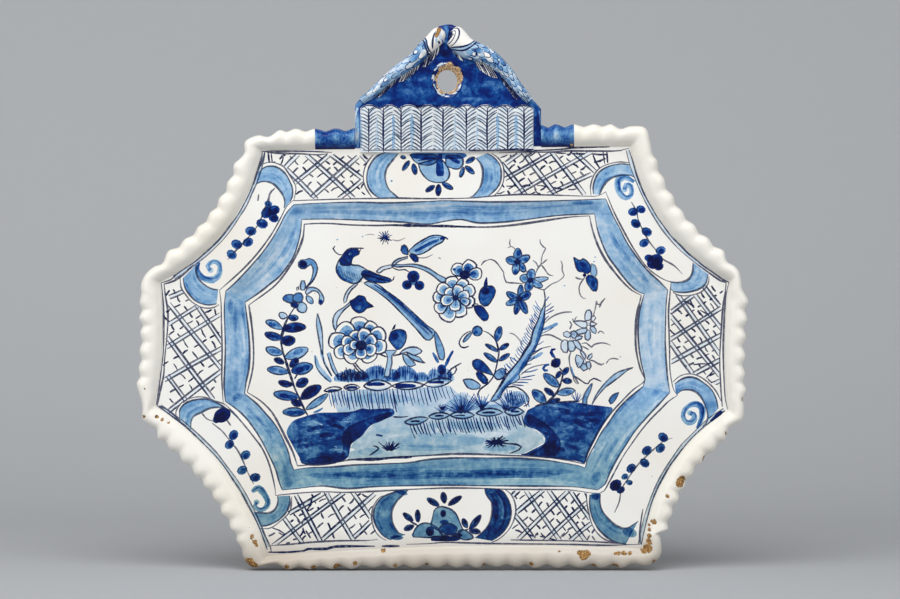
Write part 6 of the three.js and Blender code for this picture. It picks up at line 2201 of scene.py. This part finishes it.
# The dark line along the foot of the strip on the right is painted shade in the gap between the strip and
# the slab.
line((12, 105.1, 24, 104.9, 36, 105.2, 46, 105.5), 1, 0.95)
line((-44, 105.1, -20, 105.3, 10, 105.1), 0.5, 0.7)
rib_places = [FRINGE_LEFT + pitch * (k + f) for k in range(FEATHERS) for f in (0.02, 0.25, 0.5, 0.75, 0.98)]
ribs = [[(x, top_edge(x) - FRINGE_DROP + 0.05), (x, FRINGE_TOP + 1)] for x in rib_places]
places, triangles, tones = cut_and_colour(fringe_edge, drawing, guides=ribs)
part = ((places[:, 0] - FRINGE_LEFT) / pitch) % 1
swell = 1 - (2 * part - 1) ** 2
to_edge = np.minimum(ring_distance(places, fringe_edge), 1)
to_edge[places[:, 1] < 106] = 1
depths = BORDER_DEPTH + 1.2 + 1.0 * swell - 1.1 * (1 - np.sqrt(1 - (1 - to_edge) ** 2))
fringe = sheet("feather_strip", places, depths, triangles, tones)
close_back(fringe, 1.3)
flatten_back(fringe, BORDER_DEPTH + 0.35, BORDER_DEPTH - 0.1)
feather_glaze = painted_glaze("white glaze with feathers in trek", pooling=0.3, roughness=0.22)
fringe.data.materials.append(feather_glaze)
front_uv(fringe, (-47, 103), (48, 132))
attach(fringe, "root")
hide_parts("feather_fringe")
print("fringe faces:", len(fringe.data.polygons))

# %% [markdown]
# Each fish lies along a sloping edge with its head at the top. It is a half-round roll of clay that
# swells towards the gills. Its sheet is drawn flat, as if unrolled, with overlapping scales, and is
# then laid over the roll. The scales stand up a little at their free ends.

# %% Painting of a fish
FISH_RELIEFS = (1.8, 3, 4, 4.6, 5, 5.4, 5)
GIRTH = 13
NOSE = 5.5
TAIL_GAP = 0.8
SCALE_LIFT = 0.34
GILL_DEPTH = 0.45
CELLS_ALONG = 40
CELLS_AROUND = 12


def moved(flat, by):
    """Placed points, moved along x."""
    return [c + by if i % 2 == 0 else c for i, c in enumerate(flat)]


def scales(head, length, rows, step):
    """Overlapping scales in columns, from the gills to the tail."""
    u = head + 0.5
    column = 0
    while u > 2.5:
        size = step * 0.85 * (0.7 + 0.3 * u / length)
        for row in range(rows):
            x = u - 1 + hand.uniform(-0.2, 0.2) * step
            v = GIRTH * (row + 0.5 + 0.5 * (column % 2)) / rows - 0.6 + hand.uniform(-0.3, 0.3)
            wash(oval(x, v, size, size * 0.55, hand.uniform(-10, 10), 9),
                 hand.choice((-0.6, -0.3, 0, 0.3, 0.5, 1)))
            # The small white spots cleared on some scales are painted highlights.
            if hand.random() < 0.2:
                wash(oval(x - 0.5 * size, v + 0.2, size * 0.3, size * 0.3, hand.uniform(-60, 60), 6), 0,
                     clears=True)
            bow = (x + size * 0.2, v - size * 0.55, x - size * 0.75, v - size * 0.38, x - size, v,
                   x - size * 0.75, v + size * 0.38, x + size * 0.2, v + size * 0.55)
            stroke(bow, hand.uniform(0.4, 0.75), hand.uniform(1.4, 3), hand.choice((0, 0.4, 0.65, 0.85)),
                   ends=0.2)
            if hand.random() < 0.25:
                blob(x - size * 0.9, v + hand.uniform(-0.4, 0.4), 0.8, 0.4, hand.uniform(1.6, 3.4))
        u -= step
        column += 1


def paint_fish(length, head, gill, head_marks, rows, step):
    """A fish unrolled: x runs from its tail to its nose, and z round its girth."""
    wash((-2, -2, length + 2, -2, length + 2, GIRTH + 2, -2, GIRTH + 2), 1, sharp=True)
    for _ in range(26):
        wash(oval(hand.uniform(2, head), hand.uniform(1, GIRTH - 1), hand.uniform(1.5, 4.5),
                  hand.uniform(0.7, 1.6), hand.uniform(-15, 15), 8), hand.choice((-0.5, -0.3, 0.3, 0.5)))
    scales(head, length, rows, step)
    for k in range(8):
        line((0.3, GIRTH * (k + 0.5) / 8, 2.2, GIRTH * (k + 0.5) / 8, 4.6, GIRTH * (k + 1) / 9), 0.4, 0.8)
    gill = moved(gill, head)
    wash(gill + [length + 1, GIRTH + 1, length + 1, -1], 0, sharp=True, clears=True)
    for behind in (0, 1.5):
        stroke(moved(gill, -behind), 0.75, 3, 0.95)
    for flat, width, strength in head_marks:
        stroke(moved(flat, head), width, strength, 0.95 if strength > 2.9 else 0)
    for edge in (0.8, GIRTH - 0.9):
        flat = [c for k in range(13) for c in (1 + (head + 3) * k / 12, edge + hand.uniform(-0.25, 0.25))]
        stroke(flat, 0.6, 1, 0.7, step=2.5)


# %% A fish as a body
def unrolled_sheet(length):
    """The edge of a fish's flat sheet, and the guides that give it enough points to bend."""
    along = [k / CELLS_ALONG for k in range(CELLS_ALONG)]
    around = [k / CELLS_AROUND for k in range(CELLS_AROUND)]
    edge = [(length * f, 0) for f in along] + [(length, GIRTH * f) for f in around]
    edge += [(length * (1 - f), GIRTH) for f in along] + [(0, GIRTH * (1 - f)) for f in around]
    rows = [length * f for f in along[1:]] + [length - NOSE * f for f in (0.03, 0.08, 0.16, 0.25, 0.45)]
    guides = [[(x, 0.01), (x, GIRTH - 0.01)] for x in rows]
    guides += [[(0.01, GIRTH * f), (length - 0.01, GIRTH * f)] for f in around[1:]]
    return edge, guides


def over_roll(flat_places, back, tail, length, head, widths, step):
    """Where the points of a fish's flat sheet lie on its half-round roll of clay."""
    share = np.clip(flat_places[:, 0] / length, 0, 1)
    bend = math.pi * np.clip(flat_places[:, 1] / GIRTH, 0, 1)
    width = along_row(widths, share)
    # The nose is rounded off over its last millimetres.
    nose = np.clip((flat_places[:, 0] - length + NOSE) / NOSE, 0, 1)
    rounding = np.sqrt(np.maximum(0.04, 1 - nose ** 2))
    relief = along_row(FISH_RELIEFS, share) * rounding
    # The free ends of the scales stand up a little, and the gill is a groove.
    from_gill = flat_places[:, 0] - head
    lift = SCALE_LIFT * (0.5 + 0.5 * np.cos(2 * math.pi * from_gill / step)) * (from_gill < 0)
    groove = GILL_DEPTH * np.exp(-((from_gill - 0.6) / 0.7) ** 2)
    swell = relief + (lift - groove) * np.sin(bend)
    places, depths = [], []
    for s, b, w, r, f in zip(share, bend, width, swell, rounding):
        on_back, across = back(tail + (1 - tail) * s)
        places.append(on_back + across * (-0.7 + w / 2 - w / 2 * f * math.cos(b)))
        depths.append(BORDER_DEPTH + r * math.sin(b))
    return np.array(places), depths


def fish(name, back, widths, face, gill, head_marks, rows, step, worn):
    """A fish whose back follows a line, from its tail just above the feathers to its nose."""
    global drawing
    at, whole = back
    tail_z = FRINGE_TOP + FRINGE_ARCH + TAIL_GAP + (widths[0] - 0.8) * abs(at(0)[1][1])
    tail = next(t for t in np.linspace(0, 0.5, 200) if at(t)[0][1] > tail_z)
    length = whole * (1 - tail)
    head = length - face
    drawing = []
    paint_fish(length, head, gill, head_marks, rows, step)
    edge, guides = unrolled_sheet(length)
    flat_places, triangles, tones = cut_and_colour(edge, drawing, guides=guides)
    places, depths = over_roll(flat_places, at, tail, length, head, widths, step)
    piece = sheet(name, places, depths, triangles, tones)
    *worn_line, worn_radius = worn
    wear(piece, np.clip(1.25 - ring_distance(places, worn_line) / worn_radius, 0, 1))
    close_back(piece, 0.6, smooth_under=50)
    piece.data.materials.append(scale_glaze)
    front_uv(piece, places.min(axis=0) - 1, places.max(axis=0) + 1)
    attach(piece, "root")
    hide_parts(name.replace("scaled_", ""))
    print(name, "is", round(length), "mm long,", len(piece.data.polygons), "faces")


# %% Two fish
scale_glaze = painted_glaze("pale blue glaze with scales", pooling=0.45, roughness=0.18)
LEFT_GILL = (1.3, -1, 1.3, 2, 1, 4, -0.6, 6.5, -1.8, 9.5, -2, 14)
RIGHT_GILL = (0.3, -1, 0.6, 2, 1.6, 4.5, 3.6, 8, 5.6, 11, 6.6, 14)
LEFT_MARKS = (
    ((8, 3.9, 4.4, 5.4, 2, 7.4, 0.4, 9.6), 0.8, 3), ((8.5, 5, 5.5, 6.6, 3.6, 8.6), 1.6, 0.7),
    ((5, 8.6, 4.2, 10.4), 1.2, 3), ((7.6, 9, 6.8, 11.5, 5.6, 13), 1.4, 1.8),
    ((11, 3, 8.6, 6.5, 7.4, 10), 2.2, 0.7),
)
RIGHT_MARKS = (
    ((14.6, 2.2, 11.2, 3, 8.2, 5, 6.6, 8, 6.8, 11.4), 0.7, 3),
    ((14.6, 3.8, 12, 4.8, 9.6, 6.6, 8.6, 9, 8.9, 11.6), 0.65, 3),
    ((14.4, 6, 12.6, 6.8, 11, 8.6, 10.8, 11), 0.55, 3), ((15.3, 2, 14.6, 7, 14.4, 12.6), 1.3, 4),
    ((9.8, 9.4, 10.8, 11.6), 1.6, 0.4),
)
fish("scaled_fish_left", left_back, LEFT_WIDTHS, 13, LEFT_GILL, LEFT_MARKS, 3, 4.4,
     ((-2.5, 171.2), (-5, 165.2), 1.4))
fish("scaled_fish_right", right_back, RIGHT_WIDTHS, 15.2, RIGHT_GILL, RIGHT_MARKS, 4, 3.1,
     ((6.5, 171.5), (9, 170.5), 0.9))
